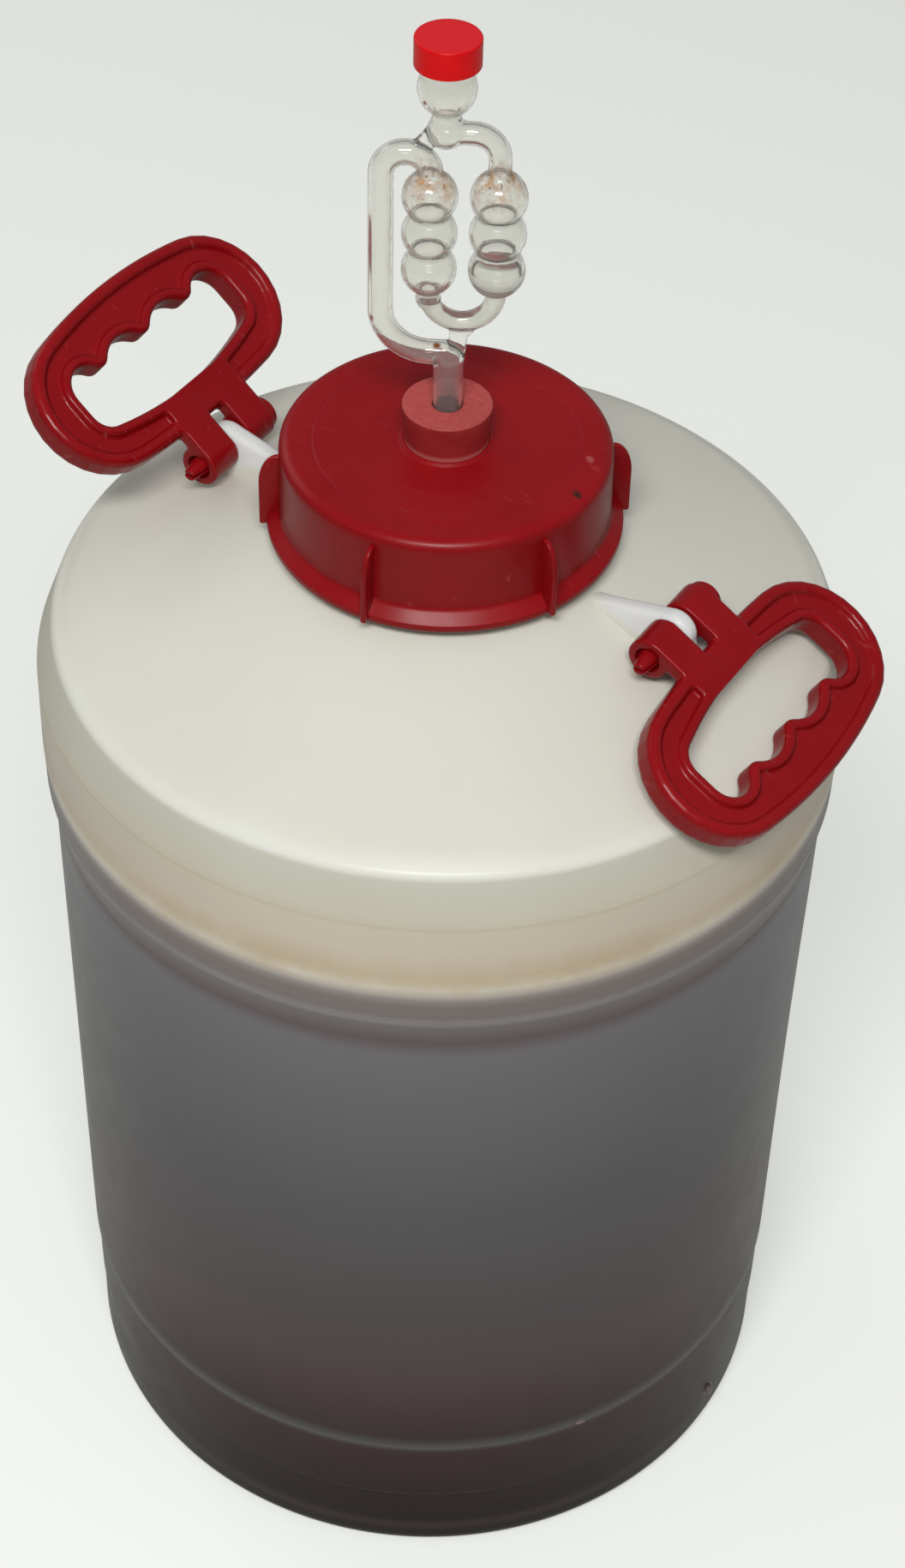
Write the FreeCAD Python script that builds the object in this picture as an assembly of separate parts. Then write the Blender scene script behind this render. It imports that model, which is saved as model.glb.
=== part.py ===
import FreeCAD, Part
import math
import os
from FreeCAD import Placement, Rotation, Vector

# Fermenting barrel of blown polyethylene, about 30 litres: a screw lid with six grip ribs, a rubber
# stopper in the lid, a blown glass airlock in the stopper and two carrying handles on pinned ears.
# Millimetres. The origin is the middle of the base, +Z up, and the two handles lie along X.

# Barrel wall, from the floor up
WALL = 3.0
BASE_RECESS = 3.0
BASE_RING_WIDTH = 37.0
BASE_RECESS_SLOPE = 6.0
FOOT_ROUND = 8.0
FOOT_STEP = 1.5
FOOT_CREASE_HEIGHT = 39.0
FOOT_CREASE_STEP = 0.5
LOWER_RIDGE_RISE = 36.0
LOWER_RIDGE_STEP = 0.8
LEDGE_HEIGHT = 1.2
BODY_RADIUS = 156.5
BODY_TAPER = 0.5
BODY_RISE = 267.5
COLLAR_FOOT_STEP = 2.7
COLLAR_FOOT_RISE = 14.0
COLLAR_STEP = 3.5
COLLAR_RISE = 17.5
CREST_STEP = 2.9
CREST_RISE = 32.0
CREST_ROUND = 28.0
SHOULDER_ANGLE = 21.0

# Neck and its thread
NECK_RADIUS = 56.5
NECK_LENGTH = 36.06
NECK_EDGE = 0.8
THREAD_PITCH = 8.0
THREAD_TURNS = 2.0
THREAD_DROP = 4.8
THREAD_DEPTH = 2.7
THREAD_ROOT_HALF = 1.5
THREAD_CREST_HALF = 0.7
THREAD_SUNK = 0.5
THREAD_FLANK_GAP = 0.7

# Ears on the shoulder that carry the handles
PIN_INSET = 58.0
PIN_RISE = 12.39
EAR_ROUND = 8.6
EAR_THICKNESS = 8.6
EAR_ROOT_STEP = 2.5
EAR_OUTER_LEAN = 3.0
EAR_DEPTH = 8.0

# Lid
LID_WALL = 2.4
LID_THREAD_GAP = 1.6
LID_EDGE_ROUND = 4.5
LID_HEIGHT = 37.0
LID_FLANGE_STEP = 4.7
LID_FLANGE_EDGE = 2.4
LID_FLARE_RISE = 7.0
LID_RING_INSET = 12.8
LID_RING_WIDTH = 0.8
LID_RING_DEPTH = 0.4
LID_LIP_HEIGHT = 1.0
LID_LIP_WIDTH = 1.2
LID_SOCKET_WALL = 2.6
LID_SOCKET_DEPTH = 8.0
RIB_COUNT = 6
RIB_FIRST_ANGLE = -82.5
RIB_THICKNESS = 2.0
RIB_STEP = 7.3
RIB_TOP_DROP = 5.4
RIB_SHOULDER_DROP = 18.4

# Gasket between neck and lid
GASKET_THICKNESS = 2.2
GASKET_WIDTH = 6.5
GASKET_INSET = 0.4

# Rubber stopper
STOPPER_STAND = 16.2
STOPPER_TOP_RADIUS = 17.0
STOPPER_LENGTH = 27.0
STOPPER_TAPER = 0.0714
STOPPER_EDGE = 0.6
STOPPER_GAP = 0.08

# Glass airlock, drawn in its own plane: u runs along the row of bulbs and z is up
AIRLOCK_TURN = 32.0
GLASS_WALL = 1.2
STEM_RADIUS = 5.6
STEM_BELOW_STOPPER = 8.6
STEM_ABOVE_STOPPER = 20.4
STEM_GAP = 0.08
FEED_TUBE_RADIUS = 4.2
FEED_TUBE_GAP = 3.0
FEED_TUBE_BEND = 19.0
FEED_TUBE_RISE = 2.5
ARCH_RISE = 9.1
INLET_U = -7.8
INLET_BULB_RADIUS = 10.0
OUTLET_BULB_RADIUS = 10.3
BULB_ROW_GAP = 3.9
BULB_COUNT = 3
BULB_RISE = 10.4
BULB_SPACING = 15.05
TRAP_TUBE_RADIUS = 3.7
TRAP_RISE = 28.4
TRAP_KNOB_RADIUS = 4.7
TRAP_KNOB_DROP = 2.0
VENT_TUBE_RADIUS = 4.15
VENT_BEND = 10.0
VENT_RISE = 25.6
VENT_LENGTH = 18.9
CUP_FOOT_RADIUS = 6.8
CUP_FOOT_RISE = 1.1
CUP_RADIUS = 10.4
CUP_RISE = 16.6
CUP_WAIST_RADIUS = 5.2
CUP_SEAM_RISE = 7.4
CUP_NECK_RADIUS = 9.0
CUP_NECK_RISE = 17.8
CUP_LIP_RADIUS = 10.7
CUP_LIP_THICKNESS = 2.6
CUP_LIP_ROUND = 1.15
WEB_THICKNESS = 2.4
UPPER_WEB_ON_CUP_FOOT = ((-2.4, -5.4), (-5.4, 2.4), (-8.5, -1.6))
UPPER_WEB_ON_ARCH = ((2.5, 12.4), (6.3, 8.6))
LOWER_WEB_ON_TRAP = ((-4.3, -12.1), (5.6, -14.3))
LOWER_WEB_ON_STEM = ((6.5, 9.3), (6.1, 3.0), (5.6, 0.0), (0.0, 0.0))
LIQUID_INLET_DROP = 3.0
LIQUID_OUTLET_RISE = 0.7
LIQUID_GAP = 0.06

# Push-on cap of the airlock
CAP_WALL = 0.9
CAP_GAP = 0.15
CAP_SKIRT = 8.7
CAP_TOP_THICKNESS = 1.8
CAP_EDGE = 0.5

# Carrying handle, drawn flat: s runs out from the pin, t along the pin and h up from the pin's axis
HANDLE_LENGTH = 134.6
HANDLE_END_RADIUS = 30.0
HANDLE_INNER_EDGE = 12.8
HANDLE_BACK_BULGE = 1.7
HANDLE_GRIP_BULGE = 3.7
HANDLE_THICKNESS = 12.0
HANDLE_MIDDLE_H = 2.0
HANDLE_ROUND = 4.2
BACK_WIDTH = 14.4
END_WIDTH = 19.3
GRIP_WIDTH = 19.9
HOLE_BACK_BULGE = 4.8
HOLE_INNER_CORNER_RADIUS = 8.5
FINGER_PITCH = 27.2
FINGER_DEPTH = 5.3
FINGER_BUMP_RADIUS = 5.0
OUTER_BEAD = 5.6
INNER_BEAD = 4.4
HOLE_ROUND = 2.2
WEB_RECESS = 2.6
ARM_GAP = 0.35
ARM_WIDTH = 15.5
ARM_ROUND = 8.3
ARM_THICKNESS = 6.2
ARM_END_INSET = 3.2
ARM_RECESS_RADIUS = 5.2
ARM_RECESS_DEPTH = 3.0
REST_GAP = 0.32
RAISED_TILT = 38.0

# Snap pin through the arms and the ear
PIN_RADIUS = 3.44
PIN_GAP = 0.06
PIN_HEAD_RADIUS = 7.0
PIN_HEAD_THICKNESS = 3.6
PIN_HEAD_ROUND = 1.2
PRONG_LENGTH = 6.5
PRONG_RADIUS = 4.3
PRONG_TIP_RADIUS = 2.4
PRONG_SLOT = 1.6
PRONG_SLOT_DEPTH = 11.0

# Small working allowances for cuts and for picking edges by height
PAST = 5.0
NEAR = 0.01
FULL_TURN = 360.0


def at(r, z):
    """A point of a profile in the XZ plane."""
    return Vector(r, 0, z)


# Barrel sizes that follow from the ones above
foot_radius = BODY_RADIUS - FOOT_STEP
base_recess_radius = foot_radius - BASE_RING_WIDTH
ridge_height = FOOT_CREASE_HEIGHT + LOWER_RIDGE_RISE
body_top_height = ridge_height + BODY_RISE
collar_foot_height = body_top_height + COLLAR_FOOT_RISE
collar_height = collar_foot_height + COLLAR_RISE
crest_radius = BODY_RADIUS + CREST_STEP
crest_centre = at(crest_radius - CREST_ROUND, collar_height + CREST_RISE)


def shoulder_height(r, inset=0.0):
    """Height of the conical shoulder at radius r, or of its inner face."""
    slope = math.radians(SHOULDER_ANGLE)
    tangent_r = crest_centre.x + (CREST_ROUND - inset) * math.sin(slope)
    tangent_z = crest_centre.z + (CREST_ROUND - inset) * math.cos(slope)
    return tangent_z + (tangent_r - r) * math.tan(slope)


# Neck and lid: the lid's thread clears the neck's and its top lies on the gasket
neck_bore = NECK_RADIUS - WALL
neck_top = shoulder_height(NECK_RADIUS) + NECK_LENGTH
thread_start = neck_top - THREAD_DROP - THREAD_PITCH * THREAD_TURNS
lid_inner_radius = NECK_RADIUS + THREAD_DEPTH + LID_THREAD_GAP
lid_radius = lid_inner_radius + LID_WALL
flange_radius = lid_radius + LID_FLANGE_STEP
rib_reach = lid_radius + RIB_STEP
lid_underside = neck_top + GASKET_THICKNESS
lid_top = lid_underside + LID_WALL
lid_bottom = lid_top - LID_HEIGHT
flare_top = lid_bottom + LID_FLARE_RISE

# Stopper and airlock, stacked upwards from the lid
stopper_top = lid_top + STOPPER_STAND
stopper_bottom = stopper_top - STOPPER_LENGTH
stem_bottom = stopper_bottom - STEM_BELOW_STOPPER
stem_dome = stopper_top + STEM_ABOVE_STOPPER
feed_tube_start = stem_dome + FEED_TUBE_RISE
feed_tube_u = INLET_U - INLET_BULB_RADIUS - FEED_TUBE_GAP - FEED_TUBE_RADIUS
outlet_u = INLET_U + INLET_BULB_RADIUS + BULB_ROW_GAP + OUTLET_BULB_RADIUS
trap_height = stem_dome + TRAP_RISE
trap_radius = (outlet_u - INLET_U) / 2
trap_centre = at(INLET_U + trap_radius, trap_height)
bulb_bottom = trap_height + BULB_RISE
bulb_top = bulb_bottom + (BULB_COUNT - 1) * BULB_SPACING
arch_radius = (INLET_U - feed_tube_u) / 2
arch_centre = at(feed_tube_u + arch_radius, bulb_top + ARCH_RISE)
vent_height = bulb_top + VENT_RISE
cup_u = outlet_u - VENT_LENGTH
cup_foot = at(cup_u, vent_height + CUP_FOOT_RISE)
cup_height = cup_foot.z + CUP_RISE
cup_top = cup_height + CUP_NECK_RISE

# Handles: their outline, their pins above the shoulder and the tilt at which one lies on the crest
handle_end_s = HANDLE_INNER_EDGE + HANDLE_BACK_BULGE + HANDLE_END_RADIUS
handle_end_t = HANDLE_LENGTH / 2 - HANDLE_END_RADIUS
grip_edge = handle_end_s + HANDLE_END_RADIUS + HANDLE_GRIP_BULGE
handle_low = HANDLE_MIDDLE_H - HANDLE_THICKNESS / 2
handle_high = HANDLE_MIDDLE_H + HANDLE_THICKNESS / 2
hole_length = HANDLE_LENGTH - 2 * END_WIDTH
hole_inner_edge = HANDLE_INNER_EDGE + BACK_WIDTH
finger_bottom = grip_edge - GRIP_WIDTH
arm_inner_face = EAR_THICKNESS / 2 + ARM_GAP
arm_end_s = hole_inner_edge - ARM_END_INSET
pin_length = 2 * (arm_inner_face + ARM_WIDTH)
ear_root_radius = rib_reach + EAR_ROOT_STEP
pin_reach = crest_radius - PIN_INSET
pin_height = shoulder_height(pin_reach) + PIN_RISE
to_crest = crest_centre - at(pin_reach, pin_height)
crest_bearing = math.atan2(to_crest.z, to_crest.x)
lying_turn = math.asin((CREST_ROUND + REST_GAP - handle_low) / to_crest.Length)
lying_tilt = math.degrees(crest_bearing + lying_turn)


def polyline(points):
    return [Part.LineSegment(a, b).toShape() for a, b in zip(points[:-1], points[1:])]


def arc_through(a, b, c):
    return Part.Arc(a, b, c).toShape()


def arc_about(centre, radius, start, end):
    """Arc in the XZ plane about centre, angles in degrees from +X towards +Z."""
    angles = [math.radians(v) for v in (start, (start + end) / 2, end)]
    a, b, c = [centre + Vector(radius * math.cos(v), 0, radius * math.sin(v)) for v in angles]
    return arc_through(a, b, c)


def revolve(edges):
    face = Part.Face(Part.Wire(edges))
    return face.revolve(Vector(0, 0, 0), Vector(0, 0, 1), FULL_TURN)


def turned(points):
    """Solid of revolution about Z from a closed outline of (r, z) points."""
    outline = [at(r, z) for r, z in points]
    return revolve(polyline(outline + outline[:1]))


def fuse_all(solids):
    return solids[0].multiFuse(solids[1:]).removeSplitter()


def stopper_radius(z):
    return STOPPER_TOP_RADIUS - (stopper_top - z) * STOPPER_TAPER


def barrel_envelope(inset, neck_radius, top):
    """The barrel's form from base to mouth as one solid, moved inwards by inset."""
    foot_centre = at(foot_radius - FOOT_ROUND, FOOT_ROUND)
    ridge_radius = BODY_RADIUS - LOWER_RIDGE_STEP
    base = [
        at(0, BASE_RECESS + inset),
        at(base_recess_radius, BASE_RECESS + inset),
        at(base_recess_radius + BASE_RECESS_SLOPE, inset),
        foot_centre + Vector(0, 0, inset - FOOT_ROUND),
    ]
    side = [
        foot_centre + Vector(FOOT_ROUND - inset, 0, 0),
        at(foot_radius - inset, FOOT_CREASE_HEIGHT),
        at(foot_radius + FOOT_CREASE_STEP - inset, FOOT_CREASE_HEIGHT + LEDGE_HEIGHT),
        at(ridge_radius - inset, ridge_height),
        at(BODY_RADIUS - inset, ridge_height + LEDGE_HEIGHT),
        at(BODY_RADIUS + BODY_TAPER - inset, body_top_height),
        at(BODY_RADIUS + COLLAR_FOOT_STEP - inset, collar_foot_height),
        at(BODY_RADIUS + COLLAR_STEP - inset, collar_height),
        at(crest_radius - inset, crest_centre.z),
    ]
    crest_end = crest_centre + Vector(
        (CREST_ROUND - inset) * math.sin(math.radians(SHOULDER_ANGLE)), 0,
        (CREST_ROUND - inset) * math.cos(math.radians(SHOULDER_ANGLE)))
    neck = [
        crest_end,
        at(neck_radius, shoulder_height(neck_radius, inset)),
        at(neck_radius, top),
        at(0, top),
        base[0],
    ]
    edges = polyline(base)
    edges.append(arc_about(foot_centre, FOOT_ROUND - inset, -90, 0))
    edges += polyline(side)
    edges.append(arc_about(crest_centre, CREST_ROUND - inset, 0, 90 - SHOULDER_ANGLE))
    edges += polyline(neck)
    return revolve(edges)


def thread(root_radius, depth, start, turns):
    """Helical ridge of trapezoid section. Depth is positive outwards and negative inwards."""
    sunk_radius = root_radius - math.copysign(THREAD_SUNK, depth)
    crest_radius = root_radius + depth
    helix = Part.makeHelix(THREAD_PITCH, THREAD_PITCH * turns, root_radius)
    helix.translate(Vector(0, 0, start))
    outline = [
        at(sunk_radius, start - THREAD_ROOT_HALF),
        at(crest_radius, start - THREAD_CREST_HALF),
        at(crest_radius, start + THREAD_CREST_HALF),
        at(sunk_radius, start + THREAD_ROOT_HALF),
    ]
    section = Part.Wire(polyline(outline + outline[:1]))
    return Part.Wire(helix).makePipeShell([section], True, True)


def ear(side):
    """Moulded ear on the shoulder: it rises from the lid outwards and rounds over the pin."""
    centre = at(pin_reach, pin_height)
    root = at(ear_root_radius, shoulder_height(ear_root_radius))
    to_root = root - centre
    reach = to_root.Length
    lean = math.atan2(to_root.z, to_root.x) - math.acos(EAR_ROUND / reach)
    top = centre + Vector(EAR_ROUND * math.cos(lean), 0, EAR_ROUND * math.sin(lean))
    crown = centre + Vector(0, 0, EAR_ROUND)
    outer = centre + Vector(EAR_ROUND, 0, 0)
    foot_r = pin_reach + EAR_ROUND + EAR_OUTER_LEAN
    foot = at(foot_r, shoulder_height(foot_r) - EAR_DEPTH)
    inner_foot = at(ear_root_radius, root.z - EAR_DEPTH)
    edges = [Part.LineSegment(root, top).toShape(), arc_through(top, crown, outer)]
    edges += polyline([outer, foot, inner_foot, root])
    plate = Part.Face(Part.Wire(edges)).extrude(Vector(0, EAR_THICKNESS, 0))
    plate.translate(Vector(0, -EAR_THICKNESS / 2, 0))
    if side < 0:
        plate.rotate(Vector(0, 0, 0), Vector(0, 0, 1), 180)
    return plate


def pin_hole(side, radius):
    start = Vector(side * pin_reach, -EAR_THICKNESS, pin_height)
    return Part.makeCylinder(radius, 2 * EAR_THICKNESS, start, Vector(0, 1, 0))


def make_barrel():
    outside = barrel_envelope(0.0, NECK_RADIUS, neck_top)
    rim = [e for e in outside.Edges if len(e.Vertexes) == 1 and abs(e.BoundBox.ZMin - neck_top) < NEAR]
    outside = outside.makeFillet(NECK_EDGE, rim)
    body = fuse_all([outside, ear(1), ear(-1)])
    body = body.cut(barrel_envelope(WALL, neck_bore, neck_top + PAST))
    for side in (1, -1):
        body = body.cut(pin_hole(side, PIN_RADIUS + PIN_GAP))
    return body.fuse(thread(NECK_RADIUS, THREAD_DEPTH, thread_start, THREAD_TURNS))


def lid_rib():
    """One grip rib: a thin plate on the skirt that runs down past the flange."""
    inside = lid_radius - LID_WALL / 2
    flare_inside = flange_radius - LID_WALL / 2
    shoulder_r = (lid_radius + 2 * rib_reach) / 3
    top = at(lid_radius, lid_top - RIB_TOP_DROP)
    bend = at(rib_reach, lid_top - RIB_SHOULDER_DROP)
    shoulder_z = (2 * top.z + bend.z) / 3
    edges = [arc_through(top, at(shoulder_r, shoulder_z), bend)]
    edges += polyline([bend, at(rib_reach, lid_bottom), at(flare_inside, lid_bottom),
                       at(inside, flare_top), at(inside, top.z), top])
    plate = Part.Face(Part.Wire(edges)).extrude(Vector(0, RIB_THICKNESS, 0))
    plate.translate(Vector(0, -RIB_THICKNESS / 2, 0))
    return plate


def make_lid():
    hole_top = stopper_radius(lid_top + LID_LIP_HEIGHT) + STOPPER_GAP
    socket_end = lid_underside - LID_SOCKET_DEPTH
    hole_bottom = stopper_radius(socket_end) + STOPPER_GAP
    socket_radius = hole_top + LID_SOCKET_WALL
    lip_radius = hole_top + LID_LIP_WIDTH
    ring_in = lid_radius - LID_RING_INSET - LID_RING_WIDTH / 2
    ring_out = ring_in + LID_RING_WIDTH
    edge_centre = at(lid_radius - LID_EDGE_ROUND, lid_top - LID_EDGE_ROUND)
    flange_top = lid_bottom + LID_FLANGE_EDGE
    flange_inner = flange_radius - LID_WALL
    outline_top = [
        at(hole_bottom, socket_end), at(hole_top, lid_top + LID_LIP_HEIGHT),
        at(lip_radius, lid_top + LID_LIP_HEIGHT), at(lip_radius, lid_top),
        at(ring_in, lid_top), at(ring_in, lid_top - LID_RING_DEPTH),
        at(ring_out, lid_top - LID_RING_DEPTH), at(ring_out, lid_top),
        edge_centre + Vector(0, 0, LID_EDGE_ROUND),
    ]
    outline_side = [
        edge_centre + Vector(LID_EDGE_ROUND, 0, 0), at(lid_radius, flare_top),
        at(flange_radius, flange_top), at(flange_radius, lid_bottom),
        at(flange_inner, lid_bottom), at(lid_inner_radius, flare_top - LID_WALL / 2),
        at(lid_inner_radius, lid_underside), at(socket_radius, lid_underside),
        at(socket_radius, socket_end), at(hole_bottom, socket_end),
    ]
    edges = polyline(outline_top)
    edges.append(arc_about(edge_centre, LID_EDGE_ROUND, 90, 0))
    edges += polyline(outline_side)
    pieces = [revolve(edges)]
    for number in range(RIB_COUNT):
        rib = lid_rib()
        rib.rotate(Vector(0, 0, 0), Vector(0, 0, 1), RIB_FIRST_ANGLE + number * FULL_TURN / RIB_COUNT)
        pieces.append(rib)
    body = fuse_all(pieces)
    # The lid's thread pulls on the lower flank of the neck's thread
    drop = THREAD_ROOT_HALF + THREAD_CREST_HALF + THREAD_FLANK_GAP
    depth = -THREAD_DEPTH
    return body.fuse(thread(lid_inner_radius, depth, thread_start - drop, THREAD_TURNS))


def make_gasket():
    outer = lid_inner_radius - GASKET_INSET
    inner = outer - GASKET_WIDTH
    return turned([(inner, neck_top), (outer, neck_top), (outer, lid_underside), (inner, lid_underside)])


def make_stopper():
    bore = STEM_RADIUS + STEM_GAP
    outline = [(bore, stopper_bottom), (stopper_radius(stopper_bottom), stopper_bottom),
               (STOPPER_TOP_RADIUS, stopper_top), (bore, stopper_top)]
    body = turned(outline)
    outer_rims = [e for e in body.Edges if len(e.Vertexes) == 1 and e.BoundBox.XMax > 2 * bore]
    return body.makeFillet(STOPPER_EDGE, outer_rims)


def ball(u, z, radius):
    return Part.makeSphere(radius, at(u, z))


def tube(edges, radius):
    """Round bar along a path in the airlock's plane."""
    path = Part.Wire(edges)
    start = path.OrderedVertexes[0].Point
    first = path.OrderedEdges[0]
    direction = first.tangentAt(first.FirstParameter)
    section = Part.Wire(Part.makeCircle(radius, start, direction))
    return path.makePipeShell([section], True, True)


def airlock_form(inset):
    """The airlock's tubes and bulbs as one solid, all radii smaller by inset."""
    feed_centre = at(feed_tube_u + FEED_TUBE_BEND, feed_tube_start + FEED_TUBE_BEND)
    vent_centre = at(outlet_u - VENT_BEND, vent_height - VENT_BEND)

    feed = polyline([at(0, feed_tube_start), feed_centre - Vector(0, 0, FEED_TUBE_BEND)])
    feed.append(arc_about(feed_centre, FEED_TUBE_BEND, -90, -180))
    feed += polyline([feed_centre - Vector(FEED_TUBE_BEND, 0, 0), arch_centre - Vector(arch_radius, 0, 0)])
    feed.append(arc_about(arch_centre, arch_radius, 180, 0))
    feed += polyline([arch_centre + Vector(arch_radius, 0, 0), at(INLET_U, bulb_top)])

    trap = polyline([at(INLET_U, bulb_bottom), trap_centre - Vector(trap_radius, 0, 0)])
    trap.append(arc_about(trap_centre, trap_radius, 180, 360))
    trap += polyline([trap_centre + Vector(trap_radius, 0, 0), at(outlet_u, bulb_bottom)])

    vent = polyline([at(outlet_u, bulb_top), vent_centre + Vector(VENT_BEND, 0, 0)])
    vent.append(arc_about(vent_centre, VENT_BEND, 0, 90))
    vent += polyline([vent_centre + Vector(0, 0, VENT_BEND), at(cup_u, vent_height)])

    pieces = [
        tube(feed, FEED_TUBE_RADIUS - inset),
        tube(trap, TRAP_TUBE_RADIUS - inset),
        tube(vent, VENT_TUBE_RADIUS - inset),
        ball(0, stem_dome, STEM_RADIUS - inset),
        ball(INLET_U, trap_height - TRAP_KNOB_DROP, TRAP_KNOB_RADIUS - inset),
        ball(cup_u, cup_foot.z, CUP_FOOT_RADIUS - inset),
        ball(cup_u, cup_height, CUP_RADIUS - inset),
        Part.makeCylinder(CUP_WAIST_RADIUS - inset, CUP_RISE, cup_foot),
    ]
    for number in range(BULB_COUNT):
        height = bulb_bottom + number * BULB_SPACING
        pieces.append(ball(INLET_U, height, INLET_BULB_RADIUS - inset))
        pieces.append(ball(outlet_u, height, OUTLET_BULB_RADIUS - inset))
    # The stem and the cup's mouth are open, so their hollow runs out past the glass
    overrun = PAST if inset else 0.0
    stem_length = stem_dome - stem_bottom + overrun
    pieces.append(Part.makeCylinder(STEM_RADIUS - inset, stem_length, at(0, stem_bottom - overrun)))
    neck_length = CUP_NECK_RISE + overrun
    pieces.append(Part.makeCylinder(CUP_NECK_RADIUS - inset, neck_length, at(cup_u, cup_height)))
    return fuse_all(pieces)


def glass_web(outline):
    """Flat bridge of glass between two tubes, in the middle plane of the airlock."""
    plate = Part.Face(Part.Wire(polyline(outline + outline[:1]))).extrude(Vector(0, WEB_THICKNESS, 0))
    plate.translate(Vector(0, -WEB_THICKNESS / 2, 0))
    return plate


def cup_lip():
    ring = Part.makeCylinder(CUP_LIP_RADIUS, CUP_LIP_THICKNESS, at(cup_u, cup_top - CUP_LIP_THICKNESS))
    return ring.makeFillet(CUP_LIP_ROUND, [e for e in ring.Edges if len(e.Vertexes) == 1])


def blown_glass():
    upper = [cup_foot + at(u, z) for u, z in UPPER_WEB_ON_CUP_FOOT]
    upper += [arch_centre + at(u, z) for u, z in UPPER_WEB_ON_ARCH]
    lower = [trap_centre + at(u, z) for u, z in LOWER_WEB_ON_TRAP]
    lower += [at(u, stem_dome + z) for u, z in LOWER_WEB_ON_STEM]
    outside = fuse_all([airlock_form(0.0), cup_lip(), glass_web(upper), glass_web(lower)])
    return outside.cut(airlock_form(GLASS_WALL))


def make_airlock_glass():
    """The blown glass in two solids, parted at a level seam in the waist under the cup."""
    glass = blown_glass()
    seam = cup_foot.z + CUP_SEAM_RISE
    width = 4 * CUP_RADIUS
    above = Part.makeBox(width, width, cup_top + PAST - seam, Vector(cup_u - width / 2, -width / 2, seam))
    return glass.cut(above), glass.common(above)


def make_airlock_liquid():
    """The sealing liquid: it fills the trap and stands higher in the outlet bulb."""
    hollow = airlock_form(GLASS_WALL + LIQUID_GAP)
    middle = (outlet_u + INLET_U) / 2
    reach = outlet_u - INLET_U
    floor = trap_height - reach
    inlet_level = trap_height - LIQUID_INLET_DROP
    outlet_level = bulb_bottom + LIQUID_OUTLET_RISE
    inlet = Part.makeBox(reach, reach, inlet_level - floor, Vector(middle - reach, -reach / 2, floor))
    outlet = Part.makeBox(reach, reach, outlet_level - floor, Vector(middle, -reach / 2, floor))
    stem_side = Part.makeBox(reach, reach, stem_dome + STEM_RADIUS - floor,
                             Vector(middle - reach, -reach / 2, floor))
    feed_side = Part.makeBox(reach, reach, 2 * reach, Vector(INLET_U - TRAP_KNOB_RADIUS - reach, -reach / 2, floor))
    room = inlet.fuse(outlet).cut(feed_side).cut(stem_side)
    return max(hollow.common(room).Solids, key=lambda solid: solid.Volume)


def make_airlock_cap():
    inner = CUP_LIP_RADIUS + CAP_GAP
    outer = inner + CAP_WALL
    top = cup_top + CAP_TOP_THICKNESS
    bottom = cup_top - CAP_SKIRT
    body = turned([(0, cup_top), (inner, cup_top), (inner, bottom), (outer, bottom),
                   (outer, top), (0, top)])
    top_rim = [e for e in body.Edges if len(e.Vertexes) == 1 and e.BoundBox.ZMin > top - NEAR]
    body = body.makeFillet(CAP_EDGE, top_rim)
    body.translate(Vector(cup_u, 0, 0))
    return body


def belt(circles, grow=0.0):
    """Closed outline round a chain of circles (s, t, radius), joined by arcs and tangent lines.

    The radius is positive where the outline turns left round the circle and negative where it turns
    right. Growing every radius by the same amount gives the parallel outline.
    """
    rounds = [(Vector(s, t, 0), radius + grow) for s, t, radius in circles]
    touches = []
    for (a, ra), (b, rb) in zip(rounds, rounds[1:] + rounds[:1]):
        across = b - a
        ratio = max(-1.0, min(1.0, (rb - ra) / across.Length))
        heading = math.atan2(across.y, across.x) - math.asin(ratio)
        left = Vector(-math.sin(heading), math.cos(heading), 0)
        leave = a - left * ra
        arrive = b - left * rb
        if leave.distanceToPoint(arrive) < NEAR:
            arrive = leave
        touches.append((leave, arrive))
    edges = []
    for number, (centre, radius) in enumerate(rounds):
        start = touches[number - 1][1]
        end, following = touches[number]
        first = math.atan2(start.y - centre.y, start.x - centre.x)
        last = math.atan2(end.y - centre.y, end.x - centre.x)
        sweep = (last - first) % (2 * math.pi)
        if radius < 0:
            sweep -= 2 * math.pi
        middle = first + sweep / 2
        halfway = centre + Vector(abs(radius) * math.cos(middle), abs(radius) * math.sin(middle), 0)
        edges.append(arc_through(start, halfway, end))
        if end is not following:
            edges.append(Part.LineSegment(end, following).toShape())
    return Part.Wire(edges)


def side_radius(bulge, end_t, end_radius):
    """Radius of a long side that bulges past the end circles' centres by the given distance."""
    return (bulge ** 2 + end_t ** 2 - end_radius ** 2) / (2 * (bulge - end_radius))


def handle_outline():
    grip = side_radius(grip_edge - handle_end_s, handle_end_t, HANDLE_END_RADIUS)
    back = side_radius(handle_end_s - HANDLE_INNER_EDGE, handle_end_t, HANDLE_END_RADIUS)
    return [
        (grip_edge - grip, 0, grip),
        (handle_end_s, handle_end_t, HANDLE_END_RADIUS),
        (HANDLE_INNER_EDGE + back, 0, back),
        (handle_end_s, -handle_end_t, HANDLE_END_RADIUS),
    ]


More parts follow.
